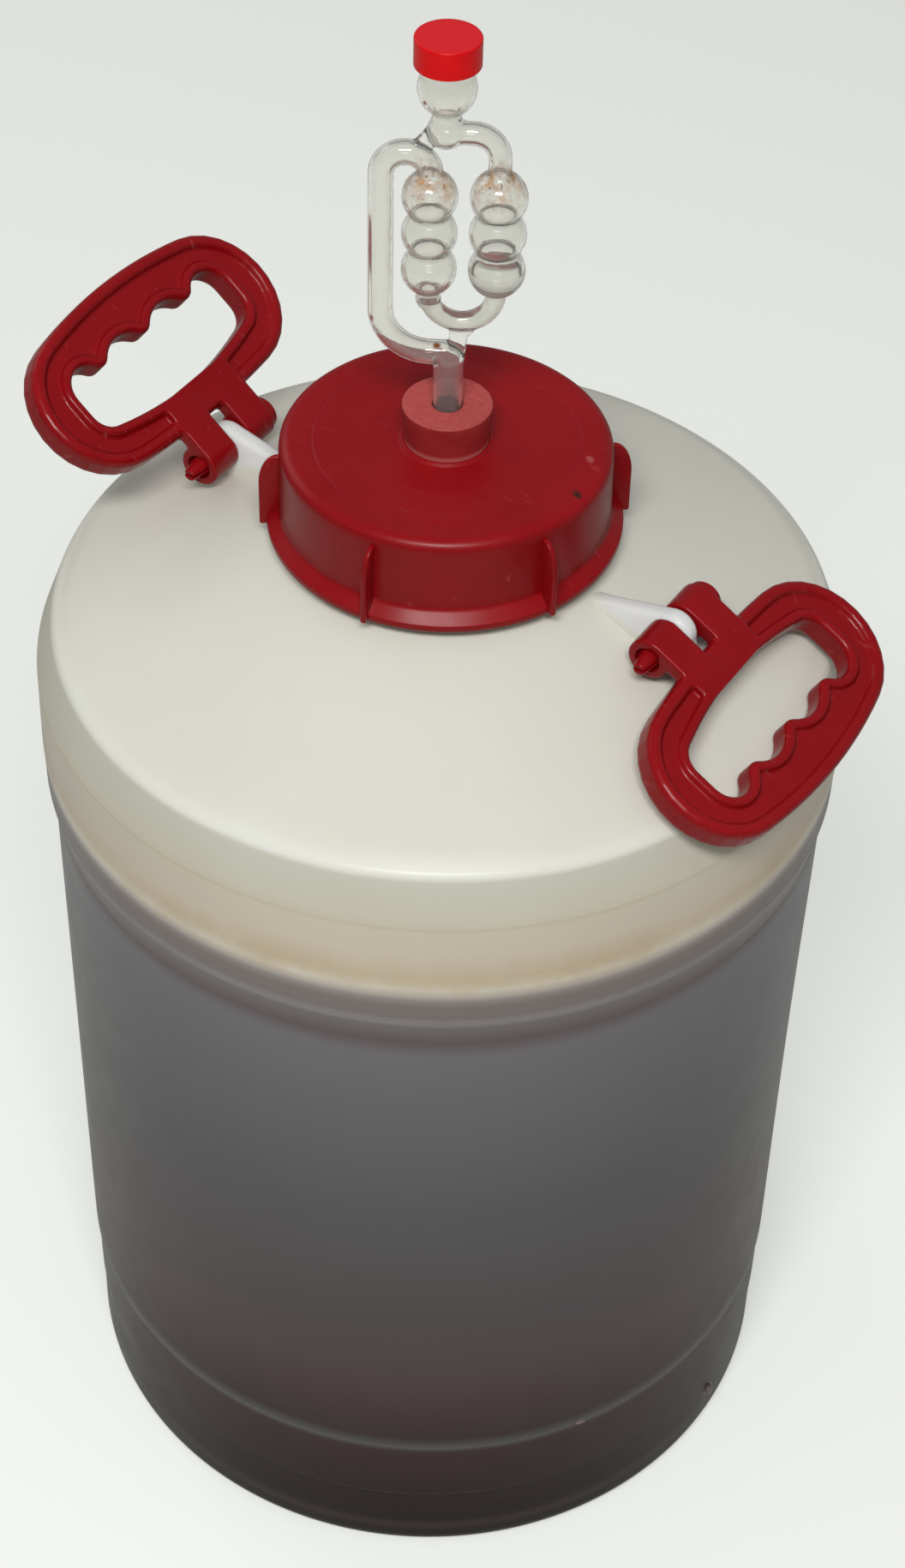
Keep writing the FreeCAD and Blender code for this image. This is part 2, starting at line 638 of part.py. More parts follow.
def hole_outline():
    """The hand hole: four finger hollows with three bumps on the grip side."""
    half_pitch = FINGER_PITCH / 2
    rounds = (half_pitch ** 2 + FINGER_DEPTH ** 2) / (2 * FINGER_DEPTH)
    hollow = rounds - FINGER_BUMP_RADIUS
    bump_s = finger_bottom - FINGER_DEPTH + FINGER_BUMP_RADIUS
    # The grip corner touches the last bump, the line of the hollows and the hole's end
    rise = bump_s - finger_bottom
    run = hole_length / 2 - FINGER_PITCH
    total = run + FINGER_BUMP_RADIUS - rise
    grip_corner = total - math.sqrt(total ** 2 - rise ** 2 - run ** 2 + FINGER_BUMP_RADIUS ** 2)
    grip_corner_s = finger_bottom - grip_corner
    grip_corner_t = hole_length / 2 - grip_corner
    inner_corner_s = hole_inner_edge + HOLE_BACK_BULGE + HOLE_INNER_CORNER_RADIUS
    inner_corner_t = hole_length / 2 - HOLE_INNER_CORNER_RADIUS
    back = side_radius(inner_corner_s - hole_inner_edge, inner_corner_t, HOLE_INNER_CORNER_RADIUS)
    return [
        (bump_s, 0, -FINGER_BUMP_RADIUS),
        (finger_bottom - hollow, half_pitch, hollow),
        (bump_s, FINGER_PITCH, -FINGER_BUMP_RADIUS),
        (grip_corner_s, grip_corner_t, grip_corner),
        (inner_corner_s, inner_corner_t, HOLE_INNER_CORNER_RADIUS),
        (hole_inner_edge + back, 0, back),
        (inner_corner_s, -inner_corner_t, HOLE_INNER_CORNER_RADIUS),
        (grip_corner_s, -grip_corner_t, grip_corner),
        (bump_s, -FINGER_PITCH, -FINGER_BUMP_RADIUS),
        (finger_bottom - hollow, -half_pitch, hollow),
    ]


def slab(wire, low, high):
    solid = Part.Face(wire).extrude(Vector(0, 0, high - low))
    solid.translate(Vector(0, 0, low))
    return solid


def rim_edges(solid, wire, level):
    """Edges of a solid that lie over the given outline at one level."""
    found = []
    for edge in solid.Edges:
        box = edge.BoundBox
        if abs(box.ZMin - level) > NEAR or abs(box.ZMax - level) > NEAR:
            continue
        middle = edge.valueAt((edge.FirstParameter + edge.LastParameter) / 2)
        flat = Part.Vertex(Vector(middle.x, middle.y, 0))
        if wire.distToShape(flat)[0] < NEAR:
            found.append(edge)
    return found


def handle_ring():
    """Flat ring with a round bead along each edge and a recessed web between them on both faces."""
    low = handle_low
    high = handle_high
    outer = belt(handle_outline())
    hole = belt(hole_outline())
    body = slab(outer, low, high).cut(slab(hole, low - PAST, high + PAST))
    body = body.makeFillet(HANDLE_ROUND, rim_edges(body, outer, low) + rim_edges(body, outer, high))
    body = body.makeFillet(HOLE_ROUND, rim_edges(body, hole, low) + rim_edges(body, hole, high))
    web_out = belt(handle_outline(), -OUTER_BEAD)
    web_in = belt(hole_outline(), INNER_BEAD)
    arm_reach = arm_inner_face + ARM_WIDTH
    solid_middle = Part.makeBox(handle_end_s, 2 * arm_reach, HANDLE_THICKNESS, Vector(0, -arm_reach, low))
    for bottom, top in ((low - PAST, low + WEB_RECESS), (high - WEB_RECESS, high + PAST)):
        groove = slab(web_out, bottom, top).cut(slab(web_in, bottom - PAST, top + PAST))
        body = body.cut(groove.cut(solid_middle))
    return body


def handle_arm(side):
    """Strap from the ring's web over its bead, curled down into a boss round the pin."""
    boss = Part.makeCylinder(ARM_ROUND, ARM_WIDTH, Vector(0, 0, 0), Vector(0, 1, 0))
    strap = Part.makeBox(arm_end_s, ARM_WIDTH, ARM_THICKNESS, Vector(0, 0, ARM_ROUND - ARM_THICKNESS))
    arm = fuse_all([boss, strap])
    recess = Part.makeCylinder(ARM_RECESS_RADIUS, ARM_RECESS_DEPTH,
                               Vector(0, ARM_WIDTH - ARM_RECESS_DEPTH, 0), Vector(0, 1, 0))
    arm = arm.cut(recess)
    arm.translate(Vector(0, arm_inner_face, 0))
    if side < 0:
        arm = arm.mirror(Vector(0, 0, 0), Vector(0, 1, 0))
    return arm


def make_handle(side, tilt):
    body = fuse_all([handle_ring(), handle_arm(1), handle_arm(-1)])
    bore = Part.makeCylinder(PIN_RADIUS + PIN_GAP, 2 * HANDLE_LENGTH,
                             Vector(0, -HANDLE_LENGTH, 0), Vector(0, 1, 0))
    body = body.cut(bore)
    body.Placement = Placement(Vector(pin_reach, 0, pin_height), Rotation(Vector(0, 1, 0), -tilt))
    if side < 0:
        body.rotate(Vector(0, 0, 0), Vector(0, 0, 1), 180)
    return body


def make_handle_pin(side):
    """Pin with a flat head at one end and two barbed prongs at the other."""
    half = pin_length / 2
    shank = Part.makeCylinder(PIN_RADIUS, 2 * half, Vector(0, -half, 0), Vector(0, 1, 0))
    head = Part.makeCylinder(PIN_HEAD_RADIUS, PIN_HEAD_THICKNESS, Vector(0, half, 0), Vector(0, 1, 0))
    face = [e for e in head.Edges if len(e.Vertexes) == 1 and e.BoundBox.YMin > half + PIN_GAP]
    head = head.makeFillet(PIN_HEAD_ROUND, face)
    barb_start = ARM_RECESS_DEPTH - half
    barb = Part.makeCone(PRONG_RADIUS, PRONG_TIP_RADIUS, PRONG_LENGTH + ARM_RECESS_DEPTH,
                         Vector(0, barb_start, 0), Vector(0, -1, 0))
    body = fuse_all([shank, head, barb])
    slot = Part.makeBox(4 * PRONG_RADIUS, PRONG_SLOT_DEPTH, PRONG_SLOT,
                        Vector(-2 * PRONG_RADIUS, -half - PRONG_LENGTH, -PRONG_SLOT / 2))
    body = body.cut(slot)
    body.translate(Vector(side * pin_reach, 0, pin_height))
    return body


def aimed(shape):
    """The airlock stands in the stopper with its row of bulbs turned to the side."""
    shape.rotate(Vector(0, 0, 0), Vector(0, 0, 1), AIRLOCK_TURN)
    return shape


tubes_glass, cup_glass = make_airlock_glass()
nodes = {
    "barrel": make_barrel(),
    "lid": make_lid(),
    "lid_gasket": make_gasket(),
    "stopper": make_stopper(),
    "airlock_glass": aimed(tubes_glass),
    "cup_glass": aimed(cup_glass),
    "airlock_liquid": aimed(make_airlock_liquid()),
    "airlock_cap": aimed(make_airlock_cap()),
    "handle_right": make_handle(1, lying_tilt),
    "handle_left": make_handle(-1, RAISED_TILT),
    "handle_pin_right": make_handle_pin(1),
    "handle_pin_left": make_handle_pin(-1),
}

os.makedirs("parts", exist_ok=True)
for name, shape in nodes.items():
    shape.exportStep("parts/" + name + ".step")
    print(name, "solids", len(shape.Solids), "valid", shape.isValid(), "cm3", round(shape.Volume / 1000, 2))
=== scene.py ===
import math

import bmesh
import bpy
import numpy as np
from mathutils import Matrix, Vector


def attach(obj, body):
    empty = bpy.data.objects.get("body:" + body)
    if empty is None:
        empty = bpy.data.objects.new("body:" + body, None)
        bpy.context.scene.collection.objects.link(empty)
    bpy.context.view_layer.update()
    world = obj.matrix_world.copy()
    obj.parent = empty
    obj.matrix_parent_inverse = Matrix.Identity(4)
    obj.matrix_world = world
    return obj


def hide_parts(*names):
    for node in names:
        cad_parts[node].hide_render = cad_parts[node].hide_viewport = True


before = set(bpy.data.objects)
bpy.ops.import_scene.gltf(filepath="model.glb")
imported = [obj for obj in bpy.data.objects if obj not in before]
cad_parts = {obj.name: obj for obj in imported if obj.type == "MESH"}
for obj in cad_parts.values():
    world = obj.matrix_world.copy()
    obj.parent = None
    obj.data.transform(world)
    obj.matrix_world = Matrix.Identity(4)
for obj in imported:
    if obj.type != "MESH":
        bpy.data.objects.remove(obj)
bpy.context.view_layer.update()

# The room: a plain pale floor under soft lamps, and the camera where the photographer stood,
# above eye height and looking down on the barrel. Nothing of it belongs to the object.


def srgb(red, green, blue):
    """A colour given in display values from 0 to 255, as the linear values that shaders take."""
    parts = []
    for value in (red, green, blue):
        value = value / 255
        parts.append(value / 12.92 if value <= 0.04045 else ((value + 0.055) / 1.055) ** 2.4)
    return (*parts, 1.0)


class Finish:
    """A node material and its shader, with short calls that add nodes to it.

    A value for a socket is a constant, a socket, or a node, whose first output is then used.
    """

    def __init__(self, name):
        self.material = bpy.data.materials.new(name)
        self.material.use_nodes = True
        self.tree = self.material.node_tree
        self.shader = self.tree.nodes["Principled BSDF"]
        coordinates = self.add("TexCoord")
        self.place = coordinates.outputs["Object"]
        self.normal = coordinates.outputs["Normal"]

    def feed(self, socket, value):
        """Sets or links a socket."""
        if isinstance(value, bpy.types.Node):
            value = value.outputs[0]
        if isinstance(value, bpy.types.NodeSocket):
            self.tree.links.new(value, socket)
        else:
            socket.default_value = value

    def add(self, kind, **values):
        """A new node. Values named in_ and a number or name go to its inputs, others to the node."""
        node = self.tree.nodes.new("ShaderNode" + kind)
        for key, value in values.items():
            if key.startswith("in_"):
                label = key[3:]
                self.feed(node.inputs[int(label) if label.isdigit() else label], value)
            else:
                setattr(node, key, value)
        return node

    def part(self, vector, axis):
        """One of the X, Y and Z of a vector."""
        return self.add("SeparateXYZ", in_0=vector).outputs[axis]

    def noise(self, scale, detail=2.0, roughness=0.5, place=None):
        """A noise read at the place on the piece, or at another vector."""
        return self.add("TexNoise", in_Vector=self.place if place is None else place, in_Scale=scale,
                        in_Detail=detail, in_Roughness=roughness)

    def ranged(self, value, low=0.0, high=1.0, start=0.0, end=1.0):
        """Runs from start to end while the value runs from low to high, and stays there outside."""
        return self.add("MapRange", in_0=value, in_1=low, in_2=high, in_3=start, in_4=end)

    def reckon(self, operation, *values):
        """A sum, product or other result of values."""
        node = self.add("Math", operation=operation)
        for socket, value in zip(node.inputs, values):
            self.feed(socket, value)
        return node

    def away(self, spot):
        """The distance from a spot."""
        return self.add("VectorMath", operation="DISTANCE", in_0=self.place, in_1=spot).outputs["Value"]

    def tones(self, value, low, first, high, second):
        """A colour that runs from the first at low to the second at high."""
        ramp = self.add("ValToRGB", in_0=value)
        for stop, position, colour in zip(ramp.color_ramp.elements, (low, high), (first, second)):
            stop.position = position
            stop.color = colour
        return ramp

    def mixed(self, share, under, over, how="MIX"):
        """The colour under, covered by the colour over as far as the share says."""
        return self.add("Mix", data_type="RGBA", blend_type=how, in_Factor=share, in_6=under,
                        in_7=over).outputs[2]

    def surface(self, **values):
        """Sets the shader's own inputs, with _ for a space in a name."""
        for key, value in values.items():
            self.feed(self.shader.inputs[key.replace("_", " ")], value)


FLOOR_SIZE = 12.0
FLOOR_COLOUR = srgb(222, 224, 219)
FLOOR_GLOW = 0.47
KEY_PLACE = (0.575, -1.11, 1.98)
KEY_SIZE = (0.9, 0.3)
KEY_POWER = 30.0
SIDE_PLACE = (-2.0, 0.3, 1.6)
SIDE_SIZE = (1.4, 1.4)
SIDE_POWER = 6.0
ROOM_COLOUR = srgb(240, 242, 243)
ROOM_STRENGTH = 0.3
AIM = (0.0, 0.0, 0.3)

floor_mesh = bpy.data.meshes.new("floor")
half = FLOOR_SIZE / 2
floor_corners = [(-half, -half, 0), (half, -half, 0), (half, half, 0), (-half, half, 0)]
floor_mesh.from_pydata(floor_corners, [], [(0, 1, 2, 3)])
floor = bpy.data.objects.new("floor", floor_mesh)
bpy.context.scene.collection.objects.link(floor)
# Where the camera looks at it, through the glass too, the floor is lifted to a backdrop's pale tone
floor_finish = Finish("floor_paint")
rays = floor_finish.add("LightPath")
seen = floor_finish.reckon("MAXIMUM", rays.outputs["Is Camera Ray"], rays.outputs["Is Transmission Ray"])
floor_finish.surface(Base_Color=FLOOR_COLOUR, Roughness=0.85, Specular_IOR_Level=0.1,
                     Emission_Color=FLOOR_COLOUR,
                     Emission_Strength=floor_finish.reckon("MULTIPLY", seen, FLOOR_GLOW))
floor_mesh.materials.append(floor_finish.material)


def softbox(name, place, size, power):
    """A flat lamp at a place, with its width and height, turned towards the barrel."""
    lamp = bpy.data.lights.new(name, "AREA")
    lamp.shape = "RECTANGLE"
    lamp.size, lamp.size_y = size
    lamp.energy = power
    box = bpy.data.objects.new(name, lamp)
    box.location = place
    box.rotation_euler = (Vector(AIM) - Vector(place)).to_track_quat("-Z", "Y").to_euler()
    bpy.context.scene.collection.objects.link(box)


softbox("key_softbox", KEY_PLACE, KEY_SIZE, KEY_POWER)
softbox("side_softbox", SIDE_PLACE, SIDE_SIZE, SIDE_POWER)
world = bpy.data.worlds.new("studio")
world.use_nodes = True
backdrop = world.node_tree.nodes["Background"]
backdrop.inputs["Color"].default_value = ROOM_COLOUR
backdrop.inputs["Strength"].default_value = ROOM_STRENGTH
bpy.context.scene.world = world
bpy.context.scene.view_settings.view_transform = "Standard"

CAMERA_DISTANCE = 0.9125
CAMERA_HEIGHT = 1.2061
CAMERA_AZIMUTH = 32.0
CAMERA_PITCH = 0.7671
CAMERA_YAW = 0.0073
CAMERA_ROLL = 0.0284
FOCAL_PIXELS = 3581.04
FRAME_PIXELS = 1830
AXIS_OFF_CENTRE = 2.57
SENSOR = 36.0

turn = Matrix.Rotation(math.radians(CAMERA_AZIMUTH), 3, "Z")
ahead = Vector((math.sin(CAMERA_YAW) * math.cos(CAMERA_PITCH),
                math.cos(CAMERA_YAW) * math.cos(CAMERA_PITCH), -math.sin(CAMERA_PITCH)))
level = Vector((math.cos(CAMERA_YAW), -math.sin(CAMERA_YAW), 0))
upward = level.cross(ahead)
sideways = level * math.cos(CAMERA_ROLL) + upward * math.sin(CAMERA_ROLL)
upright = upward * math.cos(CAMERA_ROLL) - level * math.sin(CAMERA_ROLL)
camera = bpy.data.objects.new("camera", bpy.data.cameras.new("camera"))
camera.data.sensor_width = SENSOR
camera.data.lens = SENSOR * FOCAL_PIXELS / FRAME_PIXELS
camera.data.shift_x = -AXIS_OFF_CENTRE / FRAME_PIXELS
axes = Matrix((turn @ sideways, turn @ upright, turn @ -ahead)).transposed()
stand = turn @ Vector((0, -CAMERA_DISTANCE, CAMERA_HEIGHT))
camera.matrix_world = Matrix.Translation(stand) @ axes.to_4x4()
bpy.context.scene.collection.objects.link(camera)
bpy.context.scene.camera = camera

# The barrel: one blown piece of natural polyethylene, milky above the collar and dark grey below it,
# where its colour is painted darker and redder towards the foot as painted shade and a painted
# reflection, with painted highlights on its ledges and crest. The base, foot ring, steps, collar and
# neck are turned from one outline, and the two ears that carry the handles are moulded on the shoulder.

MM = 0.001


def rounded(corners, steps=6):
    """An open line through (r, z, radius) corners, each corner cut by a curve of that radius.

    The curve leaves a leg at radius times the tangent of half the turn and is a weighted
    quadratic, which is the exact arc.
    """
    points = [np.array(corners[0][:2])]
    for before, here, after in zip(corners[:-2], corners[1:-1], corners[2:]):
        corner = np.array(here[:2])
        if not here[2]:
            points.append(corner)
            continue
        back = np.array(before[:2]) - corner
        on = np.array(after[:2]) - corner
        back = back / np.linalg.norm(back)
        on = on / np.linalg.norm(on)
        half_turn = (math.pi - math.acos(np.clip(back @ on, -1, 1))) / 2
        reach = here[2] * math.tan(half_turn)
        weight = math.cos(half_turn)
        t = np.linspace(0, 1, steps + 1)[:, None]
        blend = (1 - t) ** 2 + 2 * t * (1 - t) * weight + t ** 2
        curve = (1 - t) ** 2 * (corner + back * reach) + 2 * t * (1 - t) * weight * corner
        points.extend((curve + t ** 2 * (corner + on * reach)) / blend)
    points.append(np.array(corners[-1][:2]))
    return np.array(points)


def resampled(line, gap):
    """The line with points added along its legs, so that none is longer than the gap."""
    legs = np.linalg.norm(np.diff(line, axis=0), axis=1)
    along = np.concatenate([[0], np.cumsum(legs)])
    extra = [np.linspace(a, b, max(1, math.ceil((b - a) / gap)), endpoint=False)
             for a, b in zip(along[:-1], along[1:])]
    marks = np.concatenate(extra + [along[-1:]])
    return np.stack([np.interp(marks, along, line[:, k]) for k in range(line.shape[1])], axis=1)


def skin(name, grid, caps=False, finish=None):
    """A closed mesh from a grid of points. Rows are rings that close on themselves.

    With caps, the first and last rings are closed by a face. Points that fall together are
    merged and the faces are turned outwards.
    """
    rows, columns = grid.shape[:2]
    index = np.arange(rows * columns).reshape(rows, columns)
    following = np.roll(index, -1, axis=1)
    quads = np.stack([index[:-1], following[:-1], following[1:], index[1:]], axis=-1).reshape(-1, 4)
    faces = quads.tolist()
    if caps:
        faces += [index[0][::-1].tolist(), index[-1].tolist()]
    mesh = bpy.data.meshes.new(name)
    mesh.from_pydata(grid.reshape(-1, 3).tolist(), [], faces)
    tidy = bmesh.new()
    tidy.from_mesh(mesh)
    bmesh.ops.remove_doubles(tidy, verts=tidy.verts, dist=2e-6)
    bmesh.ops.recalc_face_normals(tidy, faces=tidy.faces)
    tidy.to_mesh(mesh)
    tidy.free()
    mesh.polygons.foreach_set("use_smooth", np.ones(len(mesh.polygons), bool))
    if finish:
        mesh.materials.append(finish.material)
    piece = bpy.data.objects.new(name, mesh)
    bpy.context.scene.collection.objects.link(piece)
    return piece


def turned(outline, columns):
    """Points of an outline of (r, z) carried round the Z axis: x = r cos, y = r sin."""
    angle = np.linspace(0, 2 * math.pi, columns, endpoint=False)
    r = outline[:, 0][:, None]
    z = np.broadcast_to(outline[:, 1][:, None], (len(outline), columns))
    return np.stack([r * np.cos(angle), r * np.sin(angle), z], axis=-1)


def applied(piece):
    """The piece with its modifiers made real."""
    bpy.context.view_layer.update()
    seen = piece.evaluated_get(bpy.context.evaluated_depsgraph_get())
    mesh = bpy.data.meshes.new_from_object(seen)
    mesh.name = piece.name
    piece.modifiers.clear()
    piece.data = mesh
    mesh.polygons.foreach_set("use_smooth", np.ones(len(mesh.polygons), bool))
    return piece


def cut_or_join(piece, others, operation):
    """The piece united with, or cut by, other closed pieces, which are then removed."""
    for other in others:
        change = piece.modifiers.new(other.name, "BOOLEAN")
        change.operation = operation
        change.solver = "EXACT"
        change.object = other
    applied(piece)
    for other in others:
        bpy.data.objects.remove(other)
    return piece


def melted(name, parts, voxel, passes):
    """One skin round overlapping closed parts: remeshed at the voxel size, then smoothed."""
    merged = bmesh.new()
    for part in parts:
        merged.from_mesh(part.data)
    whole = parts[0]
    merged.to_mesh(whole.data)
    merged.free()
    whole.name = name
    for part in parts[1:]:
        bpy.data.objects.remove(part)
    union = whole.modifiers.new("union", "REMESH")
    union.mode = "VOXEL"
    union.voxel_size = voxel
    soften = whole.modifiers.new("soften", "SMOOTH")
    soften.factor = 0.5
    soften.iterations = passes
    return applied(whole)


def dress(piece, finish):
    """Gives the piece the finish as its only material."""
    piece.data.materials.clear()
    piece.data.materials.append(finish.material)


def sharp_above(piece, degrees):
    """Edges that turn by more than the angle are drawn sharp."""
    piece.data.set_sharp_from_angle(angle=math.radians(degrees))


BARREL_WALL = 3.0 * MM
SHOULDER_ANGLE = math.radians(21)
SHOULDER_SLOPE = math.tan(SHOULDER_ANGLE)
CREST_CORNER = (0.1594, 0.42515)
CREST_ROUND = 28 * MM
NECK_RADIUS = 56.5 * MM
NECK_TOP = 500.8 * MM
BARREL_COLUMNS = 216
THREAD_DEPTH = 2.7 * MM
THREAD_PITCH = 8 * MM
THREAD_TURNS = 2.0
NECK_THREAD_START = 0.480


def shoulder_height(r):
    """Height of the shoulder's cone at a radius."""
    return CREST_CORNER[1] + (CREST_CORNER[0] - r) * SHOULDER_SLOPE


def barrel_surface():
    """The outline from the middle of the base up the outside, over the neck and down the inside.

    Its corners are (r, z, rounding). The wall is a little uneven, as a blown one is: its radius is
    moved by 0.25 mm sin(3 a + 18 z) + 0.15 mm sin(5 a - 21 z + 1.3) - 0.4 mm, a being the angle.
    """
    w = BARREL_WALL
    outside = [(0, 3 * MM, 0), (0.118, 3 * MM, 3 * MM), (0.124, 0, 2 * MM), (0.155, 0, 8 * MM),
               (0.155, 0.039, 1 * MM), (0.1555, 0.0402, 1 * MM), (0.1557, 0.075, 0.6 * MM),
               (0.1565, 0.0762, 0.8 * MM), (0.157, 0.3425, 1.2 * MM), (0.1592, 0.3545, 0.5 * MM),
               (0.15955, 0.3556, 0.5 * MM), (0.1596, 0.3572, 0.5 * MM), (0.1594, 0.3586, 0.4 * MM),
               (0.16, 0.374, 1.4 * MM), (0.1595, 0.407, 5 * MM), (0.1523, 0.4262, 6.5 * MM),
               (0.145, shoulder_height(0.145), 30 * MM),
               (NECK_RADIUS, shoulder_height(NECK_RADIUS), 3 * MM), (NECK_RADIUS, NECK_TOP, 0.8 * MM)]
    inner_neck = NECK_RADIUS - w
    drop = w / math.cos(SHOULDER_ANGLE)
    inside = [(inner_neck, NECK_TOP, 0.8 * MM),
              (inner_neck, shoulder_height(inner_neck) - drop, 4 * MM),
              (CREST_CORNER[0] - w, shoulder_height(CREST_CORNER[0] - w) - drop, CREST_ROUND - w),
              (0.1539, 0.3425, 6 * MM), (0.152, w, 5 * MM), (0.124, w, 2 * MM), (0.118, 2 * w, 3 * MM),
              (0, 2 * w, 0)]
    line = resampled(rounded(outside + inside, 8), 7 * MM)
    grid = turned(line, BARREL_COLUMNS)
    angle = np.linspace(0, 2 * math.pi, BARREL_COLUMNS, endpoint=False)[None, :]
    z = grid[..., 2]
    radius = np.hypot(grid[..., 0], grid[..., 1])
    wall = np.clip((radius - 0.14) / 0.01, 0, 1)
    wave = 0.25 * MM * np.sin(3 * angle + 9 * z / 0.5) + 0.15 * MM * np.sin(5 * angle - 21 * z + 1.3)
    settled = np.clip(z / 0.03, 0, 1) * wall
    scale = 1 + (wave - 0.4 * MM) * settled / np.maximum(radius, 1e-6)
    grid[..., 0] *= scale
    grid[..., 1] *= scale
    return grid


PIN_REACH = 101.4 * MM
PIN_HEIGHT = 459.9 * MM
EAR_ROUND = 8.6 * MM
EAR_THICK = 8.6 * MM
EAR_TOE = 3.5 * MM
EAR_SUNK = 2 * MM
EAR_ROOT = 66.5 * MM
EAR_EDGE = 3.6 * MM
EAR_FULL = 92 * MM


def ear(side):
    """A fin on the shoulder: its top rises from the root outwards, tangent to a round over the pin.

    The outline is carried across the fin's thickness in rings that draw in near both faces by a
    quarter round. The fin starts thin at its root and is full at the pin, and the rings widen
    towards the shoulder so that the foot flows into it.
    """
    root = np.array([EAR_ROOT, shoulder_height(EAR_ROOT)])
    centre = np.array([PIN_REACH, PIN_HEIGHT])
    to_root = root - centre
    lean = math.atan2(to_root[1], to_root[0]) - math.acos(EAR_ROUND / np.linalg.norm(to_root))
    crown = np.linspace(lean, -0.1, 22)
    arc = centre + EAR_ROUND * np.stack([np.cos(crown), np.sin(crown)], axis=1)
    foot_r = PIN_REACH + EAR_ROUND + EAR_TOE
    foot = np.array([foot_r, shoulder_height(foot_r) - EAR_SUNK])
    inner = np.array([EAR_ROOT, root[1] - EAR_SUNK])
    line = resampled(np.vstack([[root], arc, [foot], [inner], [root]]), 1.5 * MM)[:-1]
    middle = np.array([PIN_REACH - 6 * MM, PIN_HEIGHT - 4 * MM])
    rings = []
    for t in np.linspace(-1, 1, 17):
        edge = max(0.0, abs(t) * EAR_THICK / 2 - (EAR_THICK / 2 - EAR_EDGE)) / EAR_EDGE
        draw = EAR_EDGE * (1 - math.sqrt(max(0.0, 1 - edge ** 2)))
        out = line - middle
        length = np.linalg.norm(out, axis=1, keepdims=True)
        shrunk = middle + out * (1 - draw / length)
        depth = np.clip((shoulder_height(shrunk[:, 0]) + 5 * MM - shrunk[:, 1]) / (7 * MM), 0, 1)
        full = 0.6 + 0.4 * np.clip((shrunk[:, 0] - EAR_ROOT) / (EAR_FULL - EAR_ROOT), 0, 1)
        y = t * (EAR_THICK / 2) * full * (1 + 0.7 * depth ** 2)
        rings.append(np.stack([side * shrunk[:, 0], side * y, shrunk[:, 1]], axis=1))
    return skin("ear", np.array(rings), caps=True)


def thread_ridge(root, depth, start):
    """A ridge of trapezoid section along a helix, fading into the wall over both ends' 30 degrees."""
    along = np.linspace(0, 1, int(90 * THREAD_TURNS))
    angle = along * THREAD_TURNS * 2 * math.pi
    fade = np.clip(np.minimum(along, 1 - along) * THREAD_TURNS * 12, 0, 1)[:, None]
    sunk = math.copysign(0.6 * MM, depth)
    section_r = np.array([-sunk, depth, depth, -sunk])[None, :]
    section_r = root + np.where(section_r * depth > 0, section_r * fade - sunk * 0.2 * (1 - fade), section_r)
    section_z = np.array([-1.5, -0.7, 0.7, 1.5])[None, :] * MM
    z = start + along[:, None] * THREAD_TURNS * THREAD_PITCH + section_z
    grid = np.stack([section_r * np.cos(angle)[:, None], section_r * np.sin(angle)[:, None], z], axis=-1)
    return skin("thread", grid, caps=True)


TOP_HEIGHT = 0.5
TIDE_HEIGHT = 0.372
TIDE_COLOUR = srgb(178, 146, 104)
PATCH_COLOUR = srgb(228, 214, 204)
EAR_COLOUR = srgb(222, 223, 221)
# Pale colour of the mould's flash, a painted highlight
FLASH_PAINTED_HIGHLIGHT = srgb(116, 102, 101)
# Colours of the wall by height, from the base up to the shoulder. Much of it is painted light: below
# the collar the wall is painted darker and redder towards the foot, as painted shade and a painted
# reflection of a dark red floor; the pale stops at 14.5, 75.5, 356 and 374.5 mm are painted highlights
# on the foot, the ledge, the bead and the collar's edge, and the white stop at 426.2 mm is a painted
# highlight along the crest; the dark stop at 407 mm is a painted shadow line in that crease, and the
# band from 408.5 to 424 mm is painted darker as painted shade on the steep chamfer. The dark stops at
# 39 and 343 mm sit in the lower creases, and 380 to 390 mm is the brown tide stain.
WALL_COLOURS_AND_PAINTED_LIGHT = ((0.000, (16, 5, 5)), (0.011, (22, 7, 7)), (0.0145, (58, 42, 42)), (0.019, (26, 9, 9)),
           (0.037, (34, 9, 10)), (0.039, (10, 2, 2)), (0.041, (38, 12, 12)), (0.0735, (54, 34, 34)),
           (0.0755, (98, 94, 96)), (0.079, (76, 75, 74)), (0.084, (54, 36, 38)), (0.105, (68, 49, 54)),
           (0.130, (79, 64, 68)), (0.185, (82, 77, 78)), (0.240, (90, 88, 90)), (0.335, (113, 111, 114)),
           (0.343, (98, 84, 85)), (0.3535, (118, 111, 112)), (0.356, (140, 137, 138)),
           (0.3585, (124, 116, 115)), (0.366, (126, 116, 112)), (0.3693, (150, 142, 137)),
           (0.3715, (184, 176, 166)), (0.3745, (214, 208, 192)), (0.380, (203, 188, 162)),
           (0.390, (207, 196, 177)), (0.4055, (208, 200, 180)), (0.407, (192, 182, 160)),
           (0.4085, (197, 193, 175)), (0.424, (200, 198, 183)), (0.4262, (229, 229, 220)),
           (0.430, (221, 220, 208)))
# Flash left by the mould, as (azimuth, radius, z, half sizes outwards, round and up): a lug low on
# the parting line at each side and a nib on the lower ledge
FLASH = ((0, 0.1547, 0.0205, (2.2 * MM, 1.8 * MM, 3.6 * MM)),
         (180, 0.1547, 0.0205, (2.2 * MM, 1.8 * MM, 3.6 * MM)),
         (-32, 0.1562, 0.0768, (0.9 * MM, 2.6 * MM, 0.8 * MM)))


